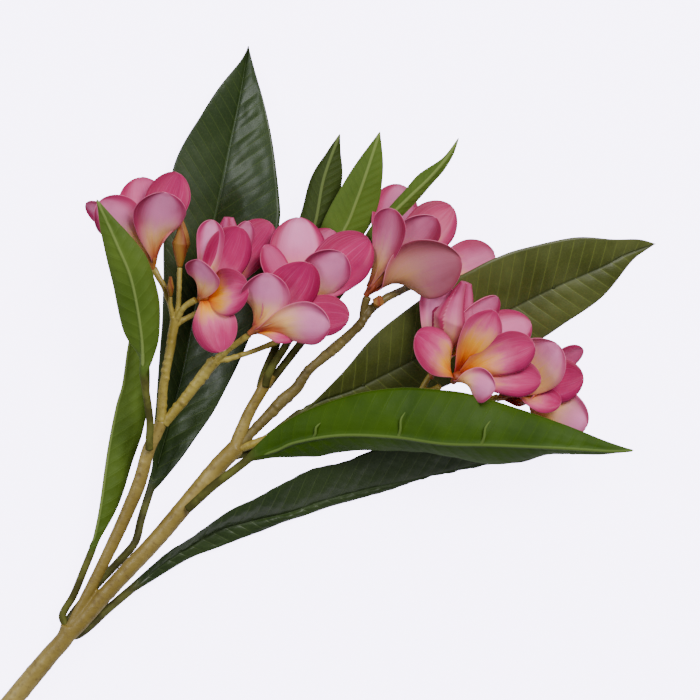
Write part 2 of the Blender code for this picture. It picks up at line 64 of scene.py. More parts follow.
def smooth(points, count):
    """Even samples along a Catmull-Rom curve through the points."""
    pts = np.array(points, float)
    pts = np.vstack((pts[:1], pts, pts[-1:]))
    t = np.linspace(0, 1, STEPS_PER_SPAN + 1)[:-1, None]
    runs = [0.5 * (2 * b + (c - a) * t + (2 * a - 5 * b + 4 * c - d) * t ** 2
                   + (3 * b - a - 3 * c + d) * t ** 3)
            for a, b, c, d in zip(pts, pts[1:], pts[2:], pts[3:])]
    dense = np.vstack(runs + [pts[-1:]])
    steps = np.linalg.norm(np.diff(dense, axis=0), axis=1)
    length = np.concatenate(((0,), np.cumsum(steps)))
    want = np.linspace(0, length[-1], count)
    return np.column_stack([np.interp(want, length, column) for column in dense.T])


def smooth_widths(radii, count):
    """A smooth row of radii that passes through the given ones; flat stretches shrink away."""
    return smooth([(radius, 0, 0) for radius in radii], count)[:, 0]


def sample(curve, t):
    """Points of an even curve at t (any shape) from 0 to 1."""
    spots = np.clip(t, 0, 1) * (len(curve) - 1)
    index = np.arange(len(curve))
    return np.stack([np.interp(spots, index, column) for column in curve.T], axis=-1)


def span(points):
    """Length of a line through the points."""
    pts = np.array(points, float)
    return float(np.linalg.norm(np.diff(pts, axis=0), axis=1).sum())


def name_seed(name):
    """A number of its own for each piece, the same at every run."""
    return sum(map(ord, name))


def waves(seed, x, y):
    """Smooth made-up unevenness, about -1 to 1, from sums of sines; the same at every run."""
    rng = np.random.default_rng(seed)
    total = 0.0
    for k in range(WAVE_COUNT):
        a, b = rng.normal(0, 1.0 + k * 0.7, 2)
        total = total + np.sin(a * x + b * y + rng.uniform(0, 6.28)) / (1 + k * 0.5)
    return total / 3.0


# ---------------------------------------------------------------- materials
STALK_DARK = (0.055, 0.052, 0.011)
STALK_LIGHT = (0.12, 0.125, 0.025)
# Painted shade: petals of the shaded blossom at the top are darkened towards this mauve brown.
PAINTED_SHADE_COLOUR = (0.24, 0.085, 0.068)         # the mauve brown of the shaded blossom at the top


class Nodes:
    """A small hand for building a material's node tree."""

    def __init__(self, name):
        self.material = bpy.data.materials.new(name)
        self.material.use_nodes = True
        self.tree = self.material.node_tree
        self.shader = self.tree.nodes["Principled BSDF"]

    def feed(self, target, value):
        """Links a socket to the target, or sets the target to a number or a colour."""
        if isinstance(value, bpy.types.NodeSocket):
            self.tree.links.new(value, target)
        else:
            target.default_value = (*value, 1) if isinstance(value, tuple) else value

    def node(self, kind, **inputs):
        made = self.tree.nodes.new(kind)
        for key, value in inputs.items():
            made.inputs[key].default_value = value
        return made

    def attribute(self, name):
        made = self.tree.nodes.new("ShaderNodeAttribute")
        made.attribute_name = name
        return made.outputs["Fac"]

    def maths(self, operation, *values):
        made = self.tree.nodes.new("ShaderNodeMath")
        made.operation = operation
        for slot, value in zip(made.inputs, values):
            self.feed(slot, value)
        return made.outputs[0]

    def times(self, a, b):
        return self.maths("MULTIPLY", a, b)

    def plus(self, a, b):
        return self.maths("ADD", a, b)

    def minus(self, a, b):
        return self.maths("SUBTRACT", a, b)

    def remap(self, value, low, high, to_low=0.0, to_high=1.0):
        """A smooth step of the value from low to high, onto to_low to to_high."""
        made = self.tree.nodes.new("ShaderNodeMapRange")
        made.interpolation_type = "SMOOTHSTEP"
        self.feed(made.inputs["Value"], value)
        for key, number in zip(("From Min", "From Max", "To Min", "To Max"),
                               (low, high, to_low, to_high)):
            made.inputs[key].default_value = number
        return made.outputs["Result"]

    def ramp(self, value, stops):
        made = self.tree.nodes.new("ShaderNodeValToRGB")
        band = made.color_ramp
        while len(band.elements) < len(stops):
            band.elements.new(0.5)
        for element, (place, colour) in zip(band.elements, stops):
            element.position = place
            element.color = (*colour, 1)
        self.feed(made.inputs["Fac"], value)
        return made.outputs["Color"]

    def mix(self, factor, a, b):
        """Colour a, turned into colour b by the factor."""
        made = self.tree.nodes.new("ShaderNodeMix")
        made.data_type = "RGBA"
        for key, value in ((0, factor), (6, a), (7, b)):
            self.feed(made.inputs[key], value)
        return made.outputs[2]

    def vector(self, *values):
        made = self.tree.nodes.new("ShaderNodeCombineXYZ")
        for slot, value in zip(made.inputs, values):
            self.feed(slot, value)
        return made.outputs[0]

    def position(self):
        return self.tree.nodes.new("ShaderNodeTexCoord").outputs["Object"]

    def noise(self, vector, scale, detail, rough=0.55):
        made = self.node("ShaderNodeTexNoise", Scale=scale, Detail=detail, Roughness=rough)
        self.feed(made.inputs["Vector"], vector)
        return made.outputs["Fac"]

    def voronoi(self, vector, scale, feature):
        made = self.node("ShaderNodeTexVoronoi", Scale=scale)
        made.feature = feature
        self.feed(made.inputs["Vector"], vector)
        return made.outputs["Distance"]

    def bump(self, height, strength, distance):
        made = self.node("ShaderNodeBump", Strength=strength, Distance=distance)
        self.feed(made.inputs["Height"], height)
        self.feed(self.shader.inputs["Normal"], made.outputs["Normal"])

    def finish(self, colour, roughness, **constants):
        """Feeds the shader its colour and roughness and sets its other inputs to constants."""
        self.feed(self.shader.inputs["Base Color"], colour)
        self.feed(self.shader.inputs["Roughness"], roughness)
        for key, value in constants.items():
            self.shader.inputs[key.replace("_", " ")].default_value = value
        return self.material


def leaf_side(name, dark, light, vein, rib, vein_share, gloss, coat):
    """One side of a leaf: mottled green, fine side veins, a rib, and a margin in the rib's colour."""
    n = Nodes(name)
    place = n.position()
    mottle = n.noise(place, 35, 5)
    broad = n.noise(place, 9, 2)
    patches = n.plus(n.times(mottle, 0.5), n.times(broad, 0.6))
    green = n.mix(n.remap(patches, 0.35, 0.75), dark, light)
    phase = n.attribute("vein_phase")
    off_line = n.maths("ABSOLUTE", n.minus(n.maths("FRACT", phase), 0.5))
    side_vein = n.remap(off_line, 0.0, 0.055, 1.0, 0.0)
    beside = n.remap(off_line, 0.02, 0.2, 1.0, 0.0)
    off_rib = n.attribute("off_rib")
    edge = n.attribute("edge")
    side_vein = n.times(side_vein, n.remap(edge, 0.3, 4.0))
    cells = n.vector(n.times(phase, 4.0), n.times(off_rib, 0.55))
    net = n.remap(n.voronoi(cells, 1.0, "DISTANCE_TO_EDGE"), 0.0, 0.09, 1.0, 0.0)
    green = n.mix(n.times(net, 0.10), green, vein)
    green = n.mix(n.times(beside, 0.18), green, light)
    green = n.mix(n.times(side_vein, vein_share), green, vein)
    green = n.mix(n.times(n.remap(off_rib, 0.45, 1.15, 1.0, 0.0), 0.62), green, rib)
    green = n.mix(n.remap(edge, 0.0, 0.45, 0.55, 0.0), green, rib)
    stalk = n.attribute("stalk")
    stalk_skin = n.mix(n.remap(n.noise(place, 90, 4), 0.35, 0.7), STALK_DARK, STALK_LIGHT)
    colour = n.mix(stalk, green, stalk_skin)
    relief = n.plus(n.times(mottle, 0.6), n.times(net, -0.12))
    n.bump(n.plus(n.times(side_vein, -0.5), relief), 0.35, 0.0006)
    rough = n.remap(n.noise(place, 22, 3), 0.3, 0.75, gloss, gloss + 0.16)
    rough = n.plus(rough, n.times(stalk, 0.2))
    return n.finish(colour, rough, Coat_Weight=coat, Coat_Roughness=0.25,
                    Specular_IOR_Level=0.30 if coat else 0.14)


def petal_side(name, stops, streak, blush, pale_tint, rim):
    """One side of a petal: a long colour gradient with fine streaks, a blush, a thin rim and, on some
    petals, a painted shade.
    """
    n = Nodes(name)
    t = n.attribute("along")
    s = n.attribute("across")
    own = n.attribute("own_tint")
    square = n.times(s, s)
    shift = n.noise(n.vector(n.times(s, 3.0), n.times(t, 1.6), own), 1.0, 3)
    fine = n.noise(n.vector(n.times(s, 26.0), n.times(t, 2.0), own), 1.0, 4)
    place = n.position()
    cloud = n.noise(place, 60, 4)
    where = t
    for unevenness, share in ((shift, 0.42), (fine, 0.14), (cloud, 0.16)):
        where = n.plus(where, n.times(n.minus(unevenness, 0.5), share))
    where = n.plus(where, n.times(square, 0.16))
    colour = n.ramp(where, stops)
    off_middle = n.plus(square, n.times(shift, 0.4))
    centre = n.times(n.remap(off_middle, 0.25, 0.95, 1.0, 0.0), n.remap(t, 0.35, 0.7))
    colour = n.mix(n.times(centre, n.attribute("pale")), colour, pale_tint)
    colour = n.mix(n.times(n.attribute("blush"), 0.9), colour, blush)
    pale = n.times(n.remap(fine, 0.48, 0.75, 0.0, streak), n.remap(t, 0.15, 0.4))
    colour = n.mix(pale, colour, pale_tint)
    colour = n.mix(n.remap(cloud, 0.50, 0.80, 0.0, 0.22), colour, blush)
    # Painted shade: each petal is darkened towards a mauve brown by its own share, for the blossom that
    # lies in shade.
    colour = n.mix(n.attribute("painted_shade"), colour, PAINTED_SHADE_COLOUR)
    edge = n.attribute("edge")
    colour = n.mix(n.remap(edge, 0.3, 5.0, 0.40, 0.0), colour, blush)
    colour = n.mix(n.remap(edge, 0.02, 0.40, 0.35, 0.0), colour, rim)
    n.bump(n.plus(n.times(fine, 0.7), n.noise(place, 900, 2)), 0.2, 0.0004)
    return n.finish(colour, 0.5, Subsurface_Weight=0.12, Subsurface_Scale=0.003,
                    Subsurface_Radius=(1.0, 0.4, 0.5), Specular_IOR_Level=0.25)


def bark(name, base, light, dark, spots):
    """Bark: mottled, with dark scars and a dry, uneven surface."""
    n = Nodes(name)
    place = n.position()
    broad = n.noise(place, 28, 4)
    fine = n.noise(place, 260, 4, 0.65)
    colour = n.mix(n.remap(broad, 0.35, 0.68), base, light)
    colour = n.mix(n.remap(fine, 0.50, 0.72, 0.0, 0.5), colour, dark)
    scar = n.remap(n.voronoi(place, 110.0, "F1"), 0.10, 0.24, spots, 0.0)
    scar = n.times(scar, n.remap(n.noise(place, 45, 2), 0.52, 0.62))
    colour = n.mix(scar, colour, dark)
    n.bump(n.minus(n.plus(fine, n.times(broad, 0.8)), scar), 0.5, 0.0009)
    return n.finish(colour, n.remap(fine, 0.3, 0.7, 0.36, 0.56), Specular_IOR_Level=0.5)


def leaf_materials():
    """The upper and the under side of each green."""
    return {
        "dark": (leaf_side("leaf_dark_upper", (0.013, 0.028, 0.006), (0.028, 0.050, 0.011),
                           (0.11, 0.16, 0.03), (0.035, 0.060, 0.016), 0.30, 0.31, 0.15),
                 # The dark under side is painted shade: its greens are darkened for the shaded top-left
                 # leaf, the one leaf that shows it.
                 leaf_side("leaf_dark_under_painted_shade", (0.018, 0.030, 0.004), (0.036, 0.056, 0.008),
                           (0.10, 0.15, 0.03), (0.16, 0.21, 0.06), 0.3, 0.45, 0.0)),
        "olive": (leaf_side("leaf_olive_upper", (0.040, 0.049, 0.005), (0.105, 0.122, 0.030),
                            (0.18, 0.22, 0.03), (0.018, 0.026, 0.004), 0.42, 0.38, 0.04),
                  leaf_side("leaf_olive_under", (0.04, 0.07, 0.012), (0.06, 0.10, 0.02),
                            (0.12, 0.17, 0.04), (0.20, 0.26, 0.08), 0.3, 0.45, 0.0)),
        "bright": (leaf_side("leaf_bright_upper", (0.016, 0.036, 0.006), (0.032, 0.060, 0.010),
                             (0.10, 0.15, 0.03), (0.05, 0.09, 0.03), 0.4, 0.38, 0.04),
                   leaf_side("leaf_bright_under", (0.020, 0.052, 0.0008), (0.042, 0.092, 0.0015),
                             (0.060, 0.115, 0.006), (0.15, 0.22, 0.05), 0.22, 0.52, 0.0)),
        "lime": (leaf_side("leaf_lime_upper", (0.020, 0.045, 0.006), (0.035, 0.070, 0.010),
                           (0.10, 0.15, 0.03), (0.05, 0.09, 0.03), 0.4, 0.38, 0.04),
                 leaf_side("leaf_lime_under", (0.049, 0.089, 0.008), (0.091, 0.146, 0.018),
                           (0.11, 0.18, 0.025), (0.22, 0.29, 0.08), 0.25, 0.46, 0.0)),
    }


def make_materials():
    """All the materials, each under the name that the pieces ask for."""
    leaves = leaf_materials()
    crimson = (0.30, 0.004, 0.062)
    lilac = (0.86, 0.26, 0.52)
    rim = (0.86, 0.24, 0.44)
    inner = petal_side("petal_inner", [
        (0.00, (0.42, 0.040, 0.002)), (0.13, (0.74, 0.19, 0.001)), (0.30, (0.86, 0.38, 0.02)),
        (0.44, (0.84, 0.32, 0.17)), (0.60, (0.68, 0.11, 0.25)), (0.78, (0.50, 0.025, 0.14)),
        (1.00, (0.42, 0.012, 0.11))], 0.22, crimson, lilac, rim)
    outer = petal_side("petal_outer", [
        (0.00, (0.34, 0.045, 0.025)), (0.14, (0.60, 0.20, 0.055)), (0.34, (0.86, 0.46, 0.17)),
        (0.50, (0.84, 0.38, 0.30)), (0.70, (0.74, 0.17, 0.34)), (1.00, (0.50, 0.045, 0.18))],
        0.22, crimson, lilac, rim)
    margin = petal_side("petal_margin", [
        (0.0, (0.45, 0.08, 0.04)), (0.5, (0.76, 0.18, 0.28)), (1.0, (0.78, 0.16, 0.30))],
        0.1, crimson, lilac, rim)
    bud_skin = petal_side("bud_skin", [
        (0.00, (0.24, 0.15, 0.015)), (0.35, (0.34, 0.19, 0.028)), (0.75, (0.38, 0.20, 0.04)),
        (1.00, (0.26, 0.09, 0.02))], 0.03, (0.20, 0.035, 0.012), (0.40, 0.22, 0.06),
        (0.34, 0.16, 0.05))
    return {
        "leaves": leaves, "petal": (outer, inner, margin), "bud": bud_skin,
        "stem": bark("stem_bark", (0.215, 0.148, 0.024), (0.37, 0.275, 0.070), (0.09, 0.045, 0.008), 0.5),
        "twig": bark("twig_bark", (0.27, 0.195, 0.022), (0.42, 0.33, 0.065), (0.10, 0.05, 0.008), 0.6),
        "olive_twig": bark("olive_twig_bark", (0.12, 0.085, 0.018), (0.21, 0.16, 0.045),
                           (0.05, 0.03, 0.008), 0.9),
        "calyx": bark("calyx_skin", (0.30, 0.05, 0.015), (0.42, 0.16, 0.03), (0.12, 0.01, 0.006), 0.3),
    }


# ---------------------------------------------------------------- meshes
def keep_piece(piece, node):
    """Makes the piece ride on the one body, in place of its CAD node."""
    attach(piece, "root")
    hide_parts(node)


def new_piece(name, verts, faces, face_slots, attributes, materials):
    """An object from points in the plan frame, with a number per point for each attribute."""
    mesh = bpy.data.meshes.new(name)
    mesh.from_pydata(((verts + FORK_PLACE) * MM).tolist(), [], faces)
    for key, values in attributes.items():
        layer = mesh.attributes.new(key, "FLOAT", "POINT")
        layer.data.foreach_set("value", np.ascontiguousarray(values, dtype=np.float32))
    for material in materials:
        mesh.materials.append(material)
    mesh.polygons.foreach_set("material_index", face_slots)
    mesh.shade_smooth()
    mesh.update()
    piece = bpy.data.objects.new(name, mesh)
    bpy.context.scene.collection.objects.link(piece)
    return piece


def shell(name, middle, up, down, attributes, materials):
    """A closed thin solid from a lattice of points: its front, its back and the rim between."""
    rows, columns = middle.shape[:2]
    lengthwise = np.gradient(middle, axis=0)
    crosswise = np.gradient(middle, axis=1)
    normal = unit(np.cross(crosswise, lengthwise))
    front = middle + normal * up[..., None]
    back = middle - normal * down[..., None]
    verts = np.concatenate((front.reshape(-1, 3), back.reshape(-1, 3)))
    index = np.arange(rows * columns).reshape(rows, columns)
    a, b, c, d = index[:-1, :-1], index[:-1, 1:], index[1:, 1:], index[1:, :-1]
    front_faces = np.stack((a, b, c, d), axis=-1).reshape(-1, 4)
    back_faces = front_faces[:, ::-1] + rows * columns
    loop = np.concatenate((index[0, :-1], index[:-1, -1], index[-1, :0:-1], index[:0:-1, 0]))
    after = np.roll(loop, -1)
    rim_faces = np.stack((after, loop, loop + rows * columns, after + rows * columns), axis=-1)
    faces = np.concatenate((front_faces, back_faces, rim_faces))
    slots = np.concatenate((np.zeros(len(front_faces)), np.ones(len(back_faces)),
                            np.full(len(rim_faces), min(2, len(materials) - 1))))
    doubled = {key: np.concatenate((v.ravel(), v.ravel())) for key, v in attributes.items()}
    return new_piece(name, verts, faces.tolist(), slots.astype(np.int32), doubled, materials)


def round_lattice(count, sides):
    """The angle, and the place from 0 to 1 along the path, of each point of a tube's rings."""
    return np.meshgrid(np.linspace(0, 2 * np.pi, sides, endpoint=False),
                       np.linspace(0, 1, count))


def tube(path, first, second, angle, radius):
    """Rings round a path, and the faces that join them and close both ends, as (verts, faces)."""
    count, sides = radius.shape
    ring = path[:, None] + radius[..., None] * (first[:, None] * np.cos(angle)[..., None]
                                               + second[:, None] * np.sin(angle)[..., None])
    verts = np.concatenate((ring.reshape(-1, 3), path[:1], path[-1:]))
    index = np.arange(count * sides).reshape(count, sides)
    a, d = index[:-1], index[1:]
    b, c = np.roll(a, -1, axis=1), np.roll(d, -1, axis=1)
    faces = np.stack((a, d, c, b), axis=-1).reshape(-1, 4).tolist()
    low, high = count * sides, count * sides + 1
    faces += [[low, int(i), int(j)] for i, j in zip(index[0], np.roll(index[0], -1))]
    faces += [[high, int(j), int(i)] for i, j in zip(index[-1], np.roll(index[-1], -1))]
    return verts, faces


def lathe(name, path, radii, sides, wobble, attributes, material, node):
    """A round closed form along a path; wobble(angle, t) multiplies its radius."""
    run = unit(np.gradient(path, axis=0))
    reference = UP if abs(run[0][2]) < 0.8 else np.array((1.0, 0.0, 0.0))
    first = unit(np.cross(run, reference))
    angle, t = round_lattice(len(path), sides)
    verts, faces = tube(path, first, np.cross(run, first), angle, radii[:, None] * wobble(angle, t))
    values = {key: np.concatenate((make(angle, t).ravel(), [0.0, 1.0 if key == "along" else 0.0]))
              for key, make in attributes.items()}
    piece = new_piece(name, verts, faces, np.zeros(len(faces), np.int32), values, [material])
    keep_piece(piece, node)


# ---------------------------------------------------------------- leaves
# The CAD's leaves: the stalk's line, the rib, both borders, and how far each half bulges.
LEAVES = {
    "leaf_back": dict(
        petiole=[(6,13,8.5), (20,30,8), (36,47,9), (46,59,10), (50,74,10), (56,93.5,9)],
        rib=[(65,125,5), (75.5,164.5,2.5), (82,197.5,1.4), (89,236.5,0.9), (98,271.5,0.9), (108,320,2),
            (114,348.5,2.5), (120,383.5,1)],
        left=[(57,108,12), (58.5,132.5,14), (61,165,14), (63,197.5,14), (64.5,229.5,13), (65,262.5,12),
            (71.5,306,12), (89,338,12), (101.5,357,10), (115,374,5), (120,383.5,2)],
        right=[(64.5,99,12), (80,118.5,16), (97.5,144.5,17), (115.5,180,16), (129.5,217,15), (140,264,14),
            (140,286.5,13), (136,320,11), (130.5,346,9), (124,368.5,5), (120,383.5,2)],
        bulge=(2.0, 3.0)),
    "leaf_front_left": dict(
        petiole=[(56,126,40.5), (56.5,139,44), (54,158.5,50), (52.5,169,54)],
        rib=[(51.5,194.5,60), (45.5,229,68), (36.5,252,73), (23,282,76)],
        left=[(49.5,180.5,54), (39.5,197.5,58), (32.5,229,64), (26,258.5,72), (23,282,76)],
        right=[(59,179.5,54), (63,194.5,57), (63,218,61), (56,242,67), (47,255.5,71), (33,271,75),
            (23,282,76)],
        bulge=(1.5, 2.0)),
    "leaf_lower_left": dict(
        petiole=[(-1.5,11,12), (6,24.5,13), (13,41.5,15), (17.5,52.5,16)],
        rib=[(23,77.5,20), (29,119.5,22), (34.5,148,22), (38.5,162.5,22), (42,188,23), (46,206.5,24)],
        left=[(22,64.5,12), (30.5,90.5,8), (39.5,116.5,6), (47.5,149,6), (50,178,10), (46,206.5,24)],
        right=[(24,62,18), (36,84.5,16), (45.5,114.5,14), (52,136,13), (56,162,13), (54,188,16),
            (46,206.5,24)],
        bulge=(1.0, 2.0)),
    "leaf_top_left": dict(
        petiole=[(130.5,169,33.5), (138.5,188,31), (143.5,205.5,28), (145.5,218.5,27)],
        rib=[(150,236.5,27), (157.5,253,28), (164,268,29), (169.5,296.5,30), (180,325.5,31)],
        left=[(146,242,24), (154.5,274.5,25), (161,297,27), (171.5,314,29), (180,325.5,31)],
        right=[(157.5,233.5,23), (168.5,253,24), (177,275.5,25), (181.5,296.5,27), (180.5,313.5,29),
            (180,325.5,31)],
        bulge=(1.0, 1.0)),
    "leaf_top_middle": dict(
        petiole=[(134.5,171,39.5), (145,188,37), (154,205.5,33), (161,222.5,31)],
        rib=[(168.5,238,33), (184,265,38), (190,279.5,41), (196.5,297.5,44), (206,326.5,46)],
        left=[(162,242,30), (167,262.5,33), (175.5,281,37), (190.5,306,42), (206,326.5,46)],
        right=[(179,235.5,31), (191,253,34), (201,268.5,37), (206,284,39), (208,305.5,43), (206,326.5,46)],
        bulge=(1.0, 1.0)),
    "leaf_top_right": dict(
        petiole=[(138.5,168.5,34), (154.5,189,33), (170.5,209.5,35), (181.5,223.5,39)],
        rib=[(192.5,242,46), (201.5,256,54), (212.5,271,58), (225.5,284,59), (238.5,296.5,60),
            (249.5,309.5,61), (257,322,62)],
        left=[(191,246.5,43), (199,263,51), (210.5,276,54), (221.5,287.5,55), (232,299,57),
            (247,309.5,60), (257,322,62)],
        right=[(198,242,45), (206,255.5,53), (218,269,56), (231,282,56), (243,296,57), (253,310,60),
            (257,322,62)],
        bulge=(0.6, 0.6)),
    "leaf_right_back": dict(
        petiole=[(121.5,118.5,22), (129.5,125,21), (141,134,21), (153,143.5,21)],
        rib=[(167,151,19), (188.5,158.5,16), (211,169.5,13), (232,180.5,11), (264.5,197,9), (294.5,213,8),
            (321,226,7), (351.5,239,5), (367,247,3), (387,254,1.2)],
        left=[(161,149.5,21), (180,168.5,24), (205.5,196.5,26), (240.5,223,28), (264.5,236,28),
            (281.5,244.5,26), (299.5,251,22), (333.5,258,16), (359,257,10), (375.5,257,5), (387,254,1.2)],
        right=[(166,140.5,16), (196.5,144.5,10), (232,154,5), (271,171,2), (307.5,189,0.7),
            (326.5,201.5,0.6), (351.5,219,0.8), (370.5,242,1), (379,249,1), (387,254,1.2)],
        bulge=(2.0, 2.0)),
    "leaf_right_front": dict(
        petiole=[(86.5,86,33.5), (97.5,96,35), (110,105.5,37), (121.5,114.5,39)],
        rib=[(138.5,119.5,44), (152,125,50), (180,129.5,59), (214.5,128.5,64), (247.5,124,66),
            (281,123,65), (322.5,121,60), (355.5,119,54), (370.5,119.5,52)],
        left=[(128,125,42), (139,134.5,46), (160,146,53), (190,156,58), (218,160,60), (241,159,60),
            (264.5,156,60), (302,144.5,58), (331,134,56), (352.5,125.5,54), (370.5,119.5,52)],
        right=[(138,114.5,40), (164.5,115.5,43), (183.5,118.5,45), (205,119,46), (234.5,117.5,45),
            (257.5,114,44), (279.5,110,43), (297,112.5,45), (317,116.5,48), (349,116.5,51),
            (370.5,119.5,52)],
        bulge=(3.0, 2.0)),
    "leaf_lower": dict(
        petiole=[(9,-1.5,8), (17.5,5,8), (27.5,14.5,8), (44,28.5,7)],
        rib=[(55,37,6), (68,47,6), (88.5,60.5,5), (104.5,68,5), (128,74,4), (148,78.5,4), (169.5,86,4),
            (198,93.5,4), (224,99,4), (247.5,104.5,4), (284,112.5,5), (316,117,5)],
        left=[(54.5,41.5,9), (67,52,12), (80.5,61,15), (93,70,17), (110,80.5,19), (128,89.5,20),
            (145,99,21), (160,106,22), (184.5,112.5,22), (205,120,21), (238.5,123,18), (277.5,121.5,13),
            (301,120,9), (316,117,5)],
        right=[(56.5,33,5), (80.5,47.5,3), (99.5,55,2.5), (125,64.5,2), (148,73.5,1.5), (175,82,1),
            (206,91,0.6), (231.5,99.5,0.6), (256,106,1), (281,110,2), (299.5,111,4), (316,117,5)],
        bulge=(1.6, 1.2)),
}

# How each leaf is finished: its greens, which side shows from above, the spacing and slant of the
# side veins, the height of the rib, how bumpy its left and right halves are, the place inside the
# stem that its stalk starts from, its stalk's radius, the length of its bumps where it is not
# LUMP_LENGTH, and the spurs that stand on its rib (from, to, height).
LEAF_LOOKS = {
    "leaf_back": dict(greens="dark", shows="upper", vein=9.0, slant=0.75, rib=0.5, bumps=(0.3, 1.7),
                      root=(0.5,5,9), stalk=2.7, lump=21.0),
    "leaf_front_left": dict(greens="lime", shows="under", vein=9.0, slant=0.7, rib=1.5,
                            bumps=(0.3, 0.3), root=(56,120,38), stalk=2.5),
    "leaf_lower_left": dict(greens="lime", shows="under", vein=9.0, slant=0.7, rib=0.9,
                            bumps=(0.3, 0.6), root=(2.5,3,12), stalk=2.5),
    # Painted shade: this leaf shows the darkened under side of the dark greens, for the shade it lies in.
    "leaf_top_left": dict(greens="dark", shows="under", vein=6.0, slant=0.8, rib=0.7,
                          bumps=(0.1, 0.1), root=(128,160,34), stalk=2.6),
    "leaf_top_middle": dict(greens="lime", shows="under", vein=6.0, slant=0.8, rib=0.9,
                            bumps=(0.1, 0.1), root=(131.5,161,37), stalk=2.6),
    "leaf_top_right": dict(greens="lime", shows="under", vein=6.0, slant=0.8, rib=0.7,
                           bumps=(0.1, 0.1), root=(133,161,33), stalk=2.6),
    "leaf_right_back": dict(greens="olive", shows="upper", vein=8.6, slant=0.45, rib=0.7,
                            bumps=(0.5, 0.5), root=(110,114.5,28), stalk=2.3,
                            spurs=[((319,226,0), (322.5,242.5,0), 1.5),
                                   ((194.5,162.5,0), (195.5,177,0), 1.5)]),
    "leaf_right_front": dict(greens="bright", shows="under", vein=9.0, slant=0.5, rib=1.6,
                             bumps=(0.5, 0.4), root=(81,81,31), stalk=2.8,
                             spurs=[((162.5,126,0), (166,136,0), 4),
                                    ((218,128.5,0), (221,144.5,0), 4),
                                    ((271.5,123.5,0), (276,139,0), 4)]),
    "leaf_lower": dict(greens="dark", shows="upper", vein=8.6, slant=0.6, rib=0.6,
                       bumps=(0.7, 1.2), root=(3,-2.5,9), stalk=2.8),
}

STALK_SAMPLES = 120
BLADE_SAMPLES = 400
LEAF_ROW = 1.25             # millimetres between two rows of a leaf's points
LEAF_COLUMNS = 37
LUMP_LENGTH = 9.0
RIPPLE_LENGTH = 14.0
STALK_JOINT = 0.05          # the share of the leaf over which the stalk turns into blade
SPUR_SAMPLES = 40
SPUR_SIDES = 14


def stalk_side(petiole, u, radius):
    """Steps from a stalk's middle line to its side, at u from 0 to 1 along it."""
    run = sample(petiole, u + 0.04) - sample(petiole, u - 0.04)
    return unit(np.cross(run, UP)) * radius


def blade_relief(seed, look, along_mm, u, s, half, phase):
    """How far each point of a blade is lifted by the quilting between veins, bumps and ripples."""
    size = np.abs(s)
    fade = ease((1 - size) * 3) * ease(u * 8) * ease((1 - u) * 6)
    shown = 1.0 if look["shows"] == "upper" else -1.0
    off_line = np.abs(phase % 1.0 - 0.5)
    quilt = (ease(off_line * 4) - 0.5) * 0.35 * fade * ease(size * 4) * shown
    bumpiness = np.where(s < 0, *look["bumps"]) * ease(size * 3) * ease((1 - size) * 4) * fade
    lump = look.get("lump", LUMP_LENGTH)
    lumps = waves(seed, along_mm / lump, s * half / lump) * bumpiness
    ends = ease(u * 5) * ease((1 - u) * 5)
    ripple = waves(seed + 5, along_mm / RIPPLE_LENGTH, s * 1.5) * 1.1 * size ** 3 * ends
    return quilt + lumps + ripple


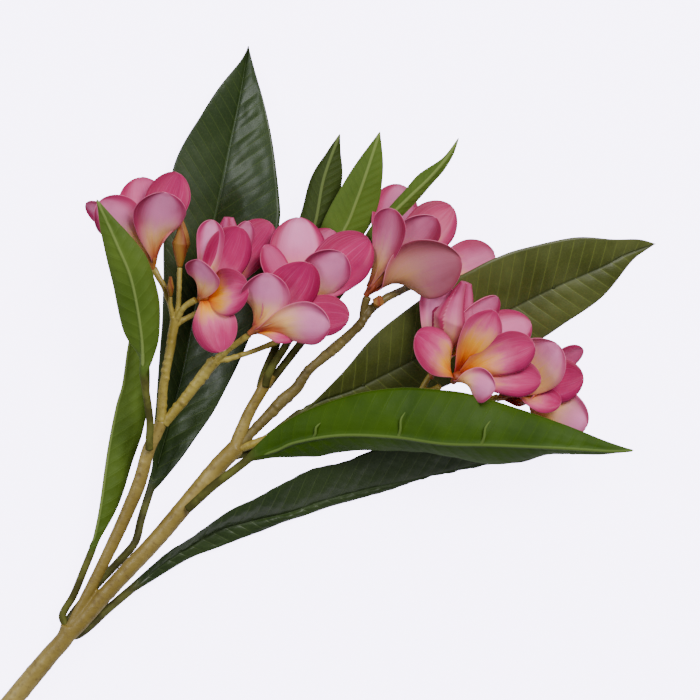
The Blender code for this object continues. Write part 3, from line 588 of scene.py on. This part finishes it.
def make_leaf(name, leaf, look, skins):
    """A leaf as one closed sheet: a round stalk that opens into a ribbed and veined blade."""
    petiole = smooth([look["root"]] + leaf["petiole"], STALK_SAMPLES)
    rib = smooth([leaf["petiole"][-1]] + leaf["rib"], BLADE_SAMPLES)
    stalk_length, blade_length = span(petiole), span(rib)
    share = stalk_length / (stalk_length + blade_length)
    rows = int((stalk_length + blade_length) / LEAF_ROW)
    t, s = np.meshgrid(np.linspace(0, 1, rows), np.linspace(-1, 1, LEAF_COLUMNS), indexing="ij")
    s = np.sign(s) * np.abs(s) ** 1.15
    size = np.abs(s)
    u = np.clip((t - share) / (1 - share), 0, 1)

    # the blade, spread from the rib to its two borders
    side_step = stalk_side(petiole, np.array(1.0), look["stalk"])
    left = smooth(np.vstack((petiole[-1] - side_step, leaf["left"])), BLADE_SAMPLES)
    right = smooth(np.vstack((petiole[-1] + side_step, leaf["right"])), BLADE_SAMPLES)
    middle = sample(rib, u)
    run = unit(sample(rib, u + 0.02) - sample(rib, u - 0.02))
    out = np.where((s < 0)[..., None], sample(left, u), sample(right, u)) - middle
    half = np.linalg.norm(out, axis=-1)
    face = np.cross(out, run)
    face = unit(np.where(face[..., 2:] < 0, -face, face))
    bulge = np.where(s < 0, *leaf["bulge"]) * np.sin(np.pi * u) * 4 * size * (1 - size)
    along_mm = u * blade_length
    phase = (along_mm - look["slant"] * half * size * 1.15) / look["vein"] + 60
    relief = blade_relief(name_seed(name), look, along_mm, u, s, half, phase)
    blade = middle + out * size[..., None] + face * (bulge + relief)[..., None]

    # the stalk, and how thick both are above and below their middle
    stalk_u = np.clip(t / share, 0, 1)
    stalk = sample(petiole, stalk_u) + stalk_side(petiole, stalk_u, look["stalk"]) * s[..., None]
    place = np.where((t < share)[..., None], stalk, blade)
    stalk_half = np.sqrt(np.maximum(0, 1 - s * s)) * look["stalk"] + 0.12
    off_rib = half * size
    ridge = look["rib"] * np.exp(-(off_rib / 1.15) ** 2) * (1 - 0.6 * u)
    groove = -0.35 * np.exp(-(off_rib / 0.9) ** 2)
    thin = 0.28 * (1 - 0.6 * size ** 4)
    blend = ease((t - share) / STALK_JOINT)
    ridge_side = stalk_half * (1 - blend) + (thin + ridge) * blend
    groove_side = stalk_half * (1 - blend) + (thin + groove) * blend

    upper, under = skins[look["greens"]]
    if look["shows"] == "upper":
        up, down, materials = groove_side, ridge_side, [upper, under]
    else:
        up, down, materials = ridge_side, groove_side, [under, upper]
    edge = np.minimum(half * (1 - size), (1 - u) * blade_length) + 6 * (1 - blend)
    attributes = {"vein_phase": phase, "off_rib": off_rib + 3 * (1 - blend), "edge": edge,
                  "stalk": 1 - ease((t - share * 0.9) / STALK_JOINT)}
    piece = shell(name + "_blade", place, up, down, attributes, materials)
    keep_piece(piece, name)
    for k, (start, end, height) in enumerate(look.get("spurs", [])):
        make_spur(f"{name}_spur_{k + 1}", rib, start, end, height, materials[0], name)


def make_spur(name, rib, start, end, height, material, node):
    """A thin shoot of the rib that stands up from it and hooks over at its end."""
    foot = rib[np.linalg.norm(rib[:, :2] - np.array(start)[:2], axis=1).argmin()]
    step = np.array(end) - np.array(start)
    rise = UP * height
    bow = np.array((-1.4, 0.0, 0.0))
    path = smooth([foot - UP * 0.5, foot + step * 0.3 + rise * 0.6 - bow * 0.3,
                   foot + step * 0.7 + rise + bow * 0.3, foot + step + rise * 0.9 - bow],
                  SPUR_SAMPLES)
    widths = np.interp(np.linspace(0, 1, SPUR_SAMPLES), (0, 0.15, 0.8, 1), (1.5, 0.95, 0.7, 0.25))
    plain = {"vein_phase": 0.0, "off_rib": 0.0, "edge": 6.0, "stalk": 0.0}
    attributes = {key: (lambda angle, t, v=value: np.full_like(t, v)) for key, value in plain.items()}
    lathe(name, path, widths, SPUR_SIDES, lambda angle, t: np.ones_like(t), attributes, material,
          node)


# ---------------------------------------------------------------- petals and blossoms
# Each petal is its tip, its width, how far its end swings out, its turn in degrees and its options:
#   face   how far it is turned flat to the floor, its outer side up if positive, else its inner side
#   blush  how crimson one of its sides is; the sign says which side
#   pale, painted_shade   how pale its middle is, and how far it is all darkened to the painted shade colour
#   shift  how far its colours are moved along it, towards the tip's if positive
#   lift   how far it first follows the flower's axis
#   peak, point  where it is widest, and how pointed its end is
BLOSSOMS = {
    "bloom_left": dict(base=(58,242,42), axis=(-0.1,0.93,0.3), petals=[
        ((67.5,286,82), 34, 0.2, 0, dict(face=0.9, blush=-0.9, pale=0.9)),
        ((75.5,299,50), 32, 0.3, -8, dict(face=-0.35, blush=1.0, shift=0.10, point=0.15)),
        ((50,297,28), 35, 0.2, 0, dict(face=-0.8, pale=0.3, blush=0.5)),
        ((14.5,279,38), 24, 0.5, 0, dict(face=0.4, pale=0.5)),
        ((23.5,279.5,68), 30, 0.4, 0, dict(face=0.8, pale=0.8, blush=0.5))]),
    "bloom_inner": dict(base=(90.5,218.5,52), axis=(0.45,0.35,0.8), petals=[
        ((103.5,183.5,70), 29, 0.5, 0, dict(face=-0.7, blush=-0.9, shift=0.05, point=0.1)),
        ((121,223.5,76), 31, 0.3, 0, dict(face=-0.3, blush=0.8, shift=-0.10)),
        ((115,264,64), 32, 0.2, 0, dict(face=-0.6, blush=1.0, shift=0.16)),
        ((97.5,268.5,68), 18, 0.1, 0, dict(face=0.8, pale=1.0)),
        ((89.5,242.5,86), 25, 0.2, 0, dict(face=0.6, pale=0.8, blush=-0.8, point=0.4))]),
    "bloom_centre_back": dict(base=(151.5,203,46), axis=(0.1,0.93,0.3), petals=[
        ((153,270.5,48), 38, 0.2, 0, dict(face=-0.8, pale=1.0, shift=-0.08)),
        ((130.5,251.5,62), 25, 0.3, 0, dict(face=-0.6, pale=0.3, blush=0.9, shift=0.12)),
        ((181.5,247,80), 31, 0.2, 0, dict(face=0.9, pale=0.9, blush=-0.6, shift=-0.05)),
        ((199,256,56), 37, 0.4, -5, dict(face=-0.6, blush=1.0, shift=0.08)),
        ((175,262.5,38), 30, 0.2, 0, dict(face=-0.6, pale=0.3))]),
    "bloom_centre_front": dict(base=(125,197.5,60), axis=(0.8,0.5,0.35), petals=[
        ((132,234,86), 32, 0.4, 0, dict(face=0.9, pale=1.0, blush=-0.6)),
        ((159,241,78), 34, 0.3, 0, dict(face=-0.85, blush=-0.9, shift=0.08)),
        ((186,206,70), 27, 0.4, 0, dict(face=-0.6, blush=0.8, shift=0.10, point=0.2)),
        ((173.5,200,90), 29, 0.3, 0, dict(face=0.9, pale=0.9, blush=0.6, shift=-0.08)),
        ((154,195,64), 22, 0.3, 0, dict())]),
    # The blossom at the top lies in shade; four of its petals carry painted shade.
    "bloom_top": dict(base=(199.5,223.5,46), axis=(0.6,0.75,0.25), petals=[
        ((220.5,292,22), 33, 0.2, 0, dict(face=-0.8, pale=0.7, point=0.15)),
        ((214,275.5,80), 23, 0.2, 0, dict(face=0.3, pale=0.3, blush=1.0, shift=0.04, painted_shade=0.2)),
        ((241,270.5,76), 27, 0.2, 0, dict(face=0.6, pale=0.3, blush=1.0, point=0.3, painted_shade=0.2)),
        ((258.5,242,78), 42, 0.3, 0, dict(face=0.9, pale=0.3, blush=-0.8, painted_shade=0.62,
                                         lift=0.1, peak=0.58, point=0.2)),
        ((253,277.5,42), 32, 0.2, 0, dict(face=-0.8, shift=-0.16, blush=0.8, point=0.2, painted_shade=0.1))]),
    "bloom_front": dict(base=(255,166,48), axis=(0.3,0.45,0.84), petals=[
        ((229,194.5,74), 31, 0.5, 0, dict(face=-0.6, blush=0.9, shift=-0.06, point=0.15)),
        ((279.5,210,76), 25, 0.2, 0, dict(face=-0.7, shift=-0.24, point=0.6)),
        ((305.5,188,74), 27, 0.4, 0, dict(face=-0.5, blush=1.0, shift=-0.08, point=0.2)),
        ((310,165,66), 25, 0.5, 0, dict(face=-0.5, blush=0.9, point=0.25)),
        ((280,159,74), 23, 0.3, 0, dict(face=0.9, pale=1.0, blush=0.3, lift=0.0))]),
    "bloom_right": dict(base=(286,154.5,36), axis=(0.75,0.35,0.5), petals=[
        ((320.5,188.5,64), 36, 0.2, 0, dict(face=0.9, pale=1.0, blush=0.1, shift=-0.24, lift=0.3)),
        ((338,185,40), 22, 0.2, 0, dict(face=0.3, pale=0.3)),
        ((338,167.5,46), 29, 0.3, 0, dict(face=-0.6, blush=1.0, shift=0.14)),
        ((323,149.5,52), 20, 0.2, 0, dict(shift=-0.1)),
        ((340,134,38), 37, 0.4, 0, dict(face=0.8, pale=1.0, shift=-0.24, blush=0.2, lift=0.2))]),
    "half_bloom_inner": dict(base=(102,216,41), axis=(0.2,0.9,0.3), petals=[
        ((119.5,268,54), 21, 0.0, 0, dict(face=0.6, pale=0.8, blush=-1.0)),
        ((135,267,40), 28, 0.3, 0, dict(face=-0.6, blush=1.0, shift=0.12))],
        core=((108,270.5,50), 11.0)),
    "half_bloom_front": dict(base=(240.5,170.5,41), axis=(0.35,0.9,0.25), petals=[
        ((245,229.5,46), 26, 0.0, 0, dict(face=0.7, pale=0.7, blush=0.6)),
        ((282,219,50), 32, 0.1, 0, dict(face=0.6, pale=0.6)),
        ((304,202,40), 30, 0.3, 0, dict(face=-0.5, pale=0.6, blush=0.6))],
        core=((262,228,54), 12.5)),
    "half_bloom_top": dict(base=(230,227.5,23), axis=(0.8,0.5,-0.1), petals=[
        ((281,247.5,9), 30, 0.1, 0, dict(face=-0.8, pale=0.4, shift=-0.05))]),
}

PETAL_ROWS, PETAL_COLUMNS = 40, 27
PETAL_TURN = math.radians(20)
PETAL_CUP = math.radians(42)
LEFT_LIP, RIGHT_LIP = 0.40, 0.12    # how far the two borders roll back, as shares of the half width
ROOT_RADIUS = 2.4                   # millimetres from the flower's axis to a petal's root
ROOT_HALF = 1.9                     # half the width of that root
PETALS = 5
CALYX_SAMPLES = 24
CALYX_SIDES = 40
FURL_SAMPLES = 60
FURL_SIDES = 96


def petal_line(start, first, last, tip, t):
    """Points along a petal's Bezier curve and the curve's direction there."""
    r = 1 - t
    line = (start * r[..., None] ** 3 + first * (3 * r * r * t)[..., None]
            + last * (3 * r * t * t)[..., None] + tip * (t ** 3)[..., None])
    run = unit((first - start) * (r * r)[..., None] + (last - first) * (2 * r * t)[..., None]
               + (tip - last) * (t * t)[..., None])
    return line, run


def petal_outline(width, reach, t, options):
    """Half the petal's width along it: narrow at the root, round or pointed at the end."""
    peak = options.get("peak", max(0.42, 1 - 0.56 * width / reach))
    point = options.get("point", 0.12)
    rise = np.sin(np.pi / 2 * np.clip(t / peak, 0, 1)) ** 1.3
    fall = np.clip((t - peak) / (1 - peak), 0, 1)
    round_end = np.sqrt(1 - 0.995 * fall ** 2)
    sharp_end = 1 - 0.93 * fall ** 1.5
    return np.where(t < peak, ROOT_HALF + (width / 2 - ROOT_HALF) * rise,
                    width / 2 * (round_end * (1 - point) + sharp_end * point))


def petal_section(seed, half, t, s):
    """How far across and how far inward each point lies: a cup with rolled lips and soft waves."""
    bend = PETAL_CUP * ease(t * 1.6) * (1 - 0.55 * ease((t - 0.35) / 0.65)) + 0.02
    x = half * np.sin(bend * s) / np.sin(bend)
    y = half * (1 - np.cos(bend * s)) / np.sin(bend)
    roll = half * np.clip((np.abs(s) - 0.45) / 0.55, 0, 1) ** 2
    y = y - np.where(s < 0, LEFT_LIP, RIGHT_LIP) * roll * ease((t - 0.15) * 2.5)
    y = y + waves(seed, t * 5.0, s * 2.2) * 0.55 * ease(t * 2) * (0.35 + 0.65 * s * s)
    y = y - 0.3 * np.exp(-(s / 0.12) ** 2) * ease(t * 3) * ease((0.8 - t) * 3)
    return x, y


def make_petal(name, base, axis, root_out, tip, spec, skins, node):
    """A petal that leaves the flower's axis towards root_out and bends over to its tip."""
    _, width, swing, turn, options = spec
    start = axis * 0.8 + root_out * ROOT_RADIUS
    chord = tip - start
    reach = np.linalg.norm(chord)
    forward = chord / reach
    tip_out = forward - axis * forward.dot(axis)
    tip_out = unit(tip_out) if np.linalg.norm(tip_out) > 0.05 else root_out
    first = start + unit(axis * options.get("lift", 0.7) + forward * 0.6) * reach * 0.33
    last = tip - unit(forward + tip_out * swing) * reach * 0.33
    t, s = np.meshgrid(np.sin(np.linspace(0, np.pi / 2, PETAL_ROWS)) ** 0.9,
                       np.linspace(-1, 1, PETAL_COLUMNS), indexing="ij")
    line, run = petal_line(start, first, last, tip, t)

    # which way is sideways: round the flower's axis, then turned flat by the petal's face
    blend = ease(t * 1.3)[..., None]
    out = unit(root_out * (1 - blend) + tip_out * blend)
    side = np.cross(np.broadcast_to(axis, out.shape), out)
    side = unit(side - run * (side * run).sum(-1, keepdims=True))
    angle = PETAL_TURN + math.radians(turn)
    side = side * math.cos(angle) + np.cross(run, side) * math.sin(angle)
    face = options.get("face", 0.0)
    flat = unit(np.cross(np.broadcast_to(UP, run.shape), run)) * -np.sign(face)
    share = (abs(face) * 0.95 * ease(t * 2))[..., None]
    side = unit(side * (1 - share) + flat * share)

    seed = name_seed(name)
    half = petal_outline(width, reach, t, options)
    x, y = petal_section(seed, half, t, s)
    place = base + line + side * x[..., None] + np.cross(run, side) * y[..., None]
    edge = np.minimum(half * (1 - np.abs(s)), (1 - t) * reach)
    thin = 0.22 + 0.16 * ease(edge / 2.0)
    blush = options.get("blush", 0.5)
    towards = s * math.copysign(1.0, blush)
    attributes = {"along": t + options.get("shift", 0.0), "across": s, "edge": edge,
                  "blush": ease((towards - 0.1) / 0.8) * ease((t - 0.12) * 2.5) * abs(blush),
                  "own_tint": np.full_like(t, (seed % 17) * 0.61),
                  "pale": np.full_like(t, options.get("pale", 0.0)),
                  # the last attribute is each petal's share of painted shade
                  "painted_shade": np.full_like(t, options.get("painted_shade", 0.0))}
    keep_piece(shell(name, place, thin, thin, attributes, skins), node)


def furled(name, points, radii, seams, twist, depth, material, node):
    """A rolled bud: its petals lie over each other in a spiral, so the skin steps at each seam."""
    def fold(angle, t):
        return (seams * angle / (2 * np.pi) + twist * t) % 1.0

    def wobble(angle, t):
        f = fold(angle, t)
        step = ease(f / 0.9) - ease((f - 0.9) / 0.1)
        return 1 + depth * step * ease(t * 4) * ease((1 - t) * 6 + 0.3)

    attributes = {
        "along": lambda angle, t: t, "across": lambda angle, t: fold(angle, t) * 2 - 1,
        "edge": lambda angle, t: 0.2 + 4 * np.minimum(fold(angle, t), 1 - fold(angle, t)),
        "blush": lambda angle, t: ease((fold(angle, t) - 0.45) / 0.5) * ease(t * 3),
        "own_tint": lambda angle, t: np.full_like(t, 3.0),
        "pale": lambda angle, t: np.full_like(t, 0.3)}
    lathe(name, smooth(points, FURL_SAMPLES), smooth_widths(radii, FURL_SAMPLES), FURL_SIDES,
          wobble, attributes, material, node)


def make_calyx(name, base, axis, material, node):
    """The small swelling that joins a blossom to its stalk."""
    path = smooth([base - axis * 5.0, base - axis * 2, base + axis * 2, base + axis * 5.0],
                  CALYX_SAMPLES)
    widths = np.interp(np.linspace(0, 1, CALYX_SAMPLES), (0, 0.3, 0.6, 0.8, 1),
                       (1.9, 2.3, 3.2, 3.4, 2.9))
    lathe(name, path, widths, CALYX_SIDES,
          lambda angle, t: 1 + 0.10 * np.cos(PETALS * angle) * ease(t * 2),
          {"along": lambda angle, t: t}, material, node)


def make_blossom(name, blossom, skins):
    """A blossom: its petals evenly round its axis, each at the place nearest to its tip's side."""
    base = np.array(blossom["base"], float)
    axis = unit(np.array(blossom["axis"], float))
    reference = np.array(Vector(axis).orthogonal().normalized())
    second = np.cross(axis, reference)
    tips = []
    for spec in blossom["petals"]:
        tip = np.array(spec[0], float) - base
        tips.append((math.atan2(tip.dot(second), tip.dot(reference)), tip, spec))
    tips.sort(key=lambda entry: entry[0])
    drift = [angle - 2 * math.pi * k / PETALS for k, (angle, _, _) in enumerate(tips)]
    phase = math.atan2(sum(map(math.sin, drift)), sum(map(math.cos, drift)))
    for k, (_, tip, spec) in enumerate(tips):
        angle = phase + 2 * math.pi * k / PETALS
        root = reference * math.cos(angle) + second * math.sin(angle)
        make_petal(f"{name}_petal_{k + 1}", base, axis, root, tip, spec, skins["petal"], name)
    if "core" in blossom:
        tip, radius = blossom["core"]
        first = base + axis * 4.0
        points = [first + (tip - first) * share for share in (0.0, 0.3, 0.65, 1.0)]
        widths = [1.2] + [radius * share for share in (0.60, 0.84, 0.96, 1.0, 0.99, 0.86, 0.30)]
        furled(name + "_core", points, widths, 5, 1.1, 0.20, skins["petal"][0], name)
    make_calyx(name + "_calyx", base, axis, skins["calyx"], name)


# ---------------------------------------------------------------- stems
# Each limb is its points and the radii along it.
MAIN = ([(-80,-99.5,5.6), (-54,-67.5,8), (-33,-43,10), (-10.5,-16,13), (0,-4,14), (3,4,14.5)],
        [5.6, 5.4, 5.4, 5.6, 6.4, 5.6])
LEFT_BRANCH = ([(0,-4,14), (6,8,15), (19,32.5,18), (29,52.5,21), (39.5,75,24), (49,97.5,28),
        (55,118.5,31), (60,129.5,33), (64.5,138.5,34)], [3.2, 3.3, 3.6, 4.1, 4.2, 4.6, 4.0])
RIGHT_BRANCH = ([(0,-4,14), (10,6,15), (24,22,17), (42,41.5,20), (58.5,59,23), (76,79.5,25), (91,97.5,27),
        (103.5,112,29), (113,121.5,30)], [5.2, 5.2, 5.4, 5.6, 5.8])
CENTRE_BRANCH = ([(111,119.5,30), (119.5,141,32), (127.5,155.5,34), (135,169,36)], [4.4, 3.7, 4.2])
LEFT_TWIG = [
    ([(63.5,136,34), (64,145.5,35.5), (65,159,37), (67,171.5,39), (69.5,184,41), (71.5,196.5,42),
        (73,205.5,43)], [3.2, 2.8, 3.0, 3.2]),
    ([(72,203,43), (70,212,42), (66.5,223.5,41), (62,232,40.5), (59,238,40)], [1.9, 1.7, 2.2]),
    ([(73,203,43), (75,214,45), (75.5,227,46), (76,238,46)], [1.8, 1.6, 1.7]),
    ([(71.5,203,43), (70,212,46), (70,219,47)], [1.5, 1.3]),
    ([(73,202,43), (78.5,212,48), (86.5,217,52)], [2.0, 1.7, 2.2]),
    ([(72,200,43), (80,205,42), (92.5,211,41), (100,215,41)], [2.0, 1.7, 2.0]),
]
INNER_TWIG = [
    ([(65.5,136.5,34.5), (78.5,152,38), (86.5,162.5,41), (93.5,171.5,43), (99.5,178,45)],
        [3.2, 3.2, 3.8]),
    ([(99,177.5,45), (107,184.5,49), (115.5,190.5,54), (121.5,194.5,57)], [2.3, 1.9, 2.2]),
    ([(99,177.5,45), (108.5,179,45), (118.5,182,45), (130.5,186.5,44), (143,192,43), (149,197.5,43)],
        [2.0, 1.7, 1.7, 2.2]),
]
RIGHT_TWIG = [
    ([(114,122,30), (130.5,139,31), (143,152,33), (152,160,35), (159,170.5,37), (172,182,39),
        (182.5,191,41), (193.5,201.5,43)], [2.8, 2.9, 4.2, 3.0, 3.6, 3.0, 3.2]),
    ([(192.5,200,43), (199.5,210.5,43), (209.5,218,41), (220.5,223.5,33), (228,227,25)], [3.0, 2.4, 2.2]),
    ([(194.5,203,43), (195.5,212,44), (198,219,46)], [2.2, 2.6]),
    ([(199.5,210.5,43), (203,212.5,46.3)], [2.0, 1.8]),
]
HIDDEN_TWIG = [
    ([(114,120,30), (129.5,125.5,33), (147.5,132.5,36), (180,143,38), (212.5,151.5,39), (234.5,157.5,40),
        (245.5,154.5,40)], [2.8, 2.6, 2.6, 2.6]),
    ([(232,156.5,40), (236,164,40), (239,168.5,40)], [2.0, 1.9]),
    ([(234.5,157.5,40), (240.5,158.5,43), (245,161,46)], [2.0, 2.1]),
    ([(242.5,155.5,40), (258,151,38), (274.5,152,36), (283,154,35)], [2.0, 1.9, 2.2]),
]
# Each stem: its limbs, the height of its knobs and of its grain as shares of the radius, the size
# of the cubes it is remeshed with, its bark, its material slot and its seed.
STEMS = {
    "main_stem": ([MAIN, LEFT_BRANCH, RIGHT_BRANCH, CENTRE_BRANCH], 0.05, 0.018, 0.75,
                  "stem", "stem", 11),
    "left_twig": (LEFT_TWIG, 0.20, 0.05, 0.42, "twig", "twig", 31),
    "inner_twig": (INNER_TWIG, 0.20, 0.05, 0.42, "twig", "twig", 47),
    "right_twig": (RIGHT_TWIG, 0.14, 0.05, 0.42, "olive_twig", "twig", 61),
    "hidden_twig": (HIDDEN_TWIG, 0.14, 0.03, 0.5, "twig", "twig", 83),
}

LIMB_RING = 0.9             # millimetres between two rings of a limb
LIMB_SIDES = 26
KNOB_SPACING = 4.6


def limb_mesh(points, radii, seed, knobs, grain):
    """Rings of a knobbly round limb, as (verts, faces), closed at both ends."""
    length = span(points)
    count = max(6, int(length / LIMB_RING))
    path = smooth(points, count)
    run = unit(np.gradient(path, axis=0))
    first = unit(np.cross(run, UP + run[:1] * 0.01))
    angle, t = round_lattice(count, LIMB_SIDES)
    mm = t * length
    rng = np.random.default_rng(seed)
    swell = np.zeros_like(mm)
    for centre in np.arange(rng.uniform(2, 5), length - 2, KNOB_SPACING) + rng.uniform(-1.5, 1.5):
        towards = rng.uniform(0, 6.28)
        reach = rng.uniform(0.9, 1.7)
        near = np.exp(-((mm - centre) / reach) ** 2)
        one_side = (0.5 + 0.5 * np.cos(angle - towards)) ** 3
        swell += knobs * rng.uniform(0.3, 1.5) * near * (0.05 + one_side)
    rough = waves(seed + 9, mm / 2.2, np.cos(angle) * 2.5 + np.sin(angle)) \
        + 0.8 * waves(seed + 4, mm / 7, np.sin(angle) * 3)
    radius = smooth_widths(radii, count)[:, None] * (1 + swell + grain * rough)
    return tube(path, first, np.cross(run, first), angle, radius)


def make_stem(name, limbs, knobs, grain, voxel, material, seed):
    """Limbs grown together: joined, remeshed into one skin and smoothed at the forks."""
    verts, faces, base = [], [], 0
    for k, (points, radii) in enumerate(limbs):
        limb_verts, limb_faces = limb_mesh(points, radii, seed + k, knobs, grain)
        verts.append(limb_verts)
        faces += [[i + base for i in face] for face in limb_faces]
        base += len(limb_verts)
    piece = new_piece(name + "_skin", np.concatenate(verts), faces,
                      np.zeros(len(faces), np.int32), {}, [material])
    remesh = piece.modifiers.new("one_skin", "REMESH")
    remesh.mode = "VOXEL"
    remesh.voxel_size = voxel * MM
    remesh.use_smooth_shade = True
    soften = piece.modifiers.new("soften", "SMOOTH")
    soften.factor = 0.5
    soften.iterations = 3
    keep_piece(piece, name)


# ---------------------------------------------------------------- buds
# Each bud is its points and the radii along it.
BUDS = {
    "bud_long": ([(76,238.5,46), (76.5,249.5,47), (77.5,258.5,48), (76.5,271,50)],
                 [1.7, 4.6, 5.5, 1.0]),
    "bud_small": ([(70,219.5,47), (70,225.5,49), (70,232,51)], [1.2, 2.3, 0.9]),
    "bud_round": ([(203.5,213,47), (205,216,49.5), (206,219,51.5)], [1.8, 3.9, 1.6]),
}

# ---------------------------------------------------------------- floor, light and camera
FLOOR_HALF_SIZE = 30.0
FLOOR_DROP = 0.0004                 # just under the lowest leaves
FLOOR_GLOW = 7.6
SKY_STRENGTH = 0.30
KEY_POWER = 58.0
FILL_POWER = 20.0
VIEW_CENTRE = (186.5, 184.5, 0)     # millimetres in the plan frame, like the three below
VIEW_WIDTH = 455.0                  # across the picture, at the spray's middle height
VIEW_HEIGHT = 40.0                  # that middle height
CAMERA_DISTANCE = 5200.0


def make_floor():
    """A pale floor that glows evenly; light linking keeps its glow off the spray."""
    size = FLOOR_HALF_SIZE
    mesh = bpy.data.meshes.new("floor")
    mesh.from_pydata([(-size, -size, 0), (size, -size, 0), (size, size, 0), (-size, size, 0)], [],
                     [(0, 1, 2, 3)])
    floor = bpy.data.objects.new("floor", mesh)
    bpy.context.scene.collection.objects.link(floor)
    floor.location.z = -FLOOR_DROP
    material = bpy.data.materials.new("floor_paper")
    material.use_nodes = True
    shader = material.node_tree.nodes["Principled BSDF"]
    shader.inputs["Base Color"].default_value = (0.80, 0.79, 0.82, 1)
    shader.inputs["Roughness"].default_value = 0.9
    shader.inputs["Emission Color"].default_value = (0.79, 0.71, 1.0, 1)
    shader.inputs["Emission Strength"].default_value = FLOOR_GLOW
    mesh.materials.append(material)
    only_itself = bpy.data.collections.new("lit_by_the_floor")
    only_itself.objects.link(floor)
    floor.light_linking.receiver_collection = only_itself


def add_area(name, place, size, power, colour):
    """A round soft light that points at the origin."""
    light = bpy.data.lights.new(name, "AREA")
    light.shape = "DISK"
    light.size = size
    light.energy = power
    light.color = colour
    lamp = bpy.data.objects.new(name, light)
    bpy.context.scene.collection.objects.link(lamp)
    lamp.location = place
    lamp.rotation_euler = (-Vector(place)).to_track_quat("-Z", "Y").to_euler()


def make_light():
    """A dim even sky, a large key light and a weaker fill."""
    world = bpy.data.worlds.new("studio")
    world.use_nodes = True
    sky = world.node_tree.nodes["Background"]
    sky.inputs["Color"].default_value = (0.96, 0.97, 1.0, 1)
    sky.inputs["Strength"].default_value = SKY_STRENGTH
    bpy.context.scene.world = world
    add_area("key", (0.9, 1.1, 2.0), 1.1, KEY_POWER, (1.0, 0.985, 0.96))
    add_area("fill", (-1.5, 0.4, 1.7), 1.0, FILL_POWER, (0.95, 0.97, 1.0))


def make_camera():
    """The photo's view: straight down, from far enough to be nearly free of perspective."""
    data = bpy.data.cameras.new("camera")
    data.sensor_width = 36.0
    data.lens = data.sensor_width * (CAMERA_DISTANCE - VIEW_HEIGHT) / VIEW_WIDTH
    data.clip_start = 0.1
    data.clip_end = 60.0
    camera = bpy.data.objects.new("camera", data)
    bpy.context.scene.collection.objects.link(camera)
    centre = np.array(VIEW_CENTRE) + FORK_PLACE
    camera.location = (centre[0] * MM, centre[1] * MM, CAMERA_DISTANCE * MM)
    bpy.context.scene.camera = camera


def main():
    skins = make_materials()
    for name, leaf in LEAVES.items():
        make_leaf(name, leaf, LEAF_LOOKS[name], skins["leaves"])
    for name, blossom in BLOSSOMS.items():
        make_blossom(name, blossom, skins)
    for name, (limbs, knobs, grain, voxel, skin, slot, seed) in STEMS.items():
        make_stem(name, limbs, knobs, grain, voxel, skins[skin], seed)
    for name, (points, radii) in BUDS.items():
        furled(name + "_skin", points, radii, 3, 0.8, 0.06, skins["bud"], name)
    make_floor()
    make_light()
    make_camera()


main()
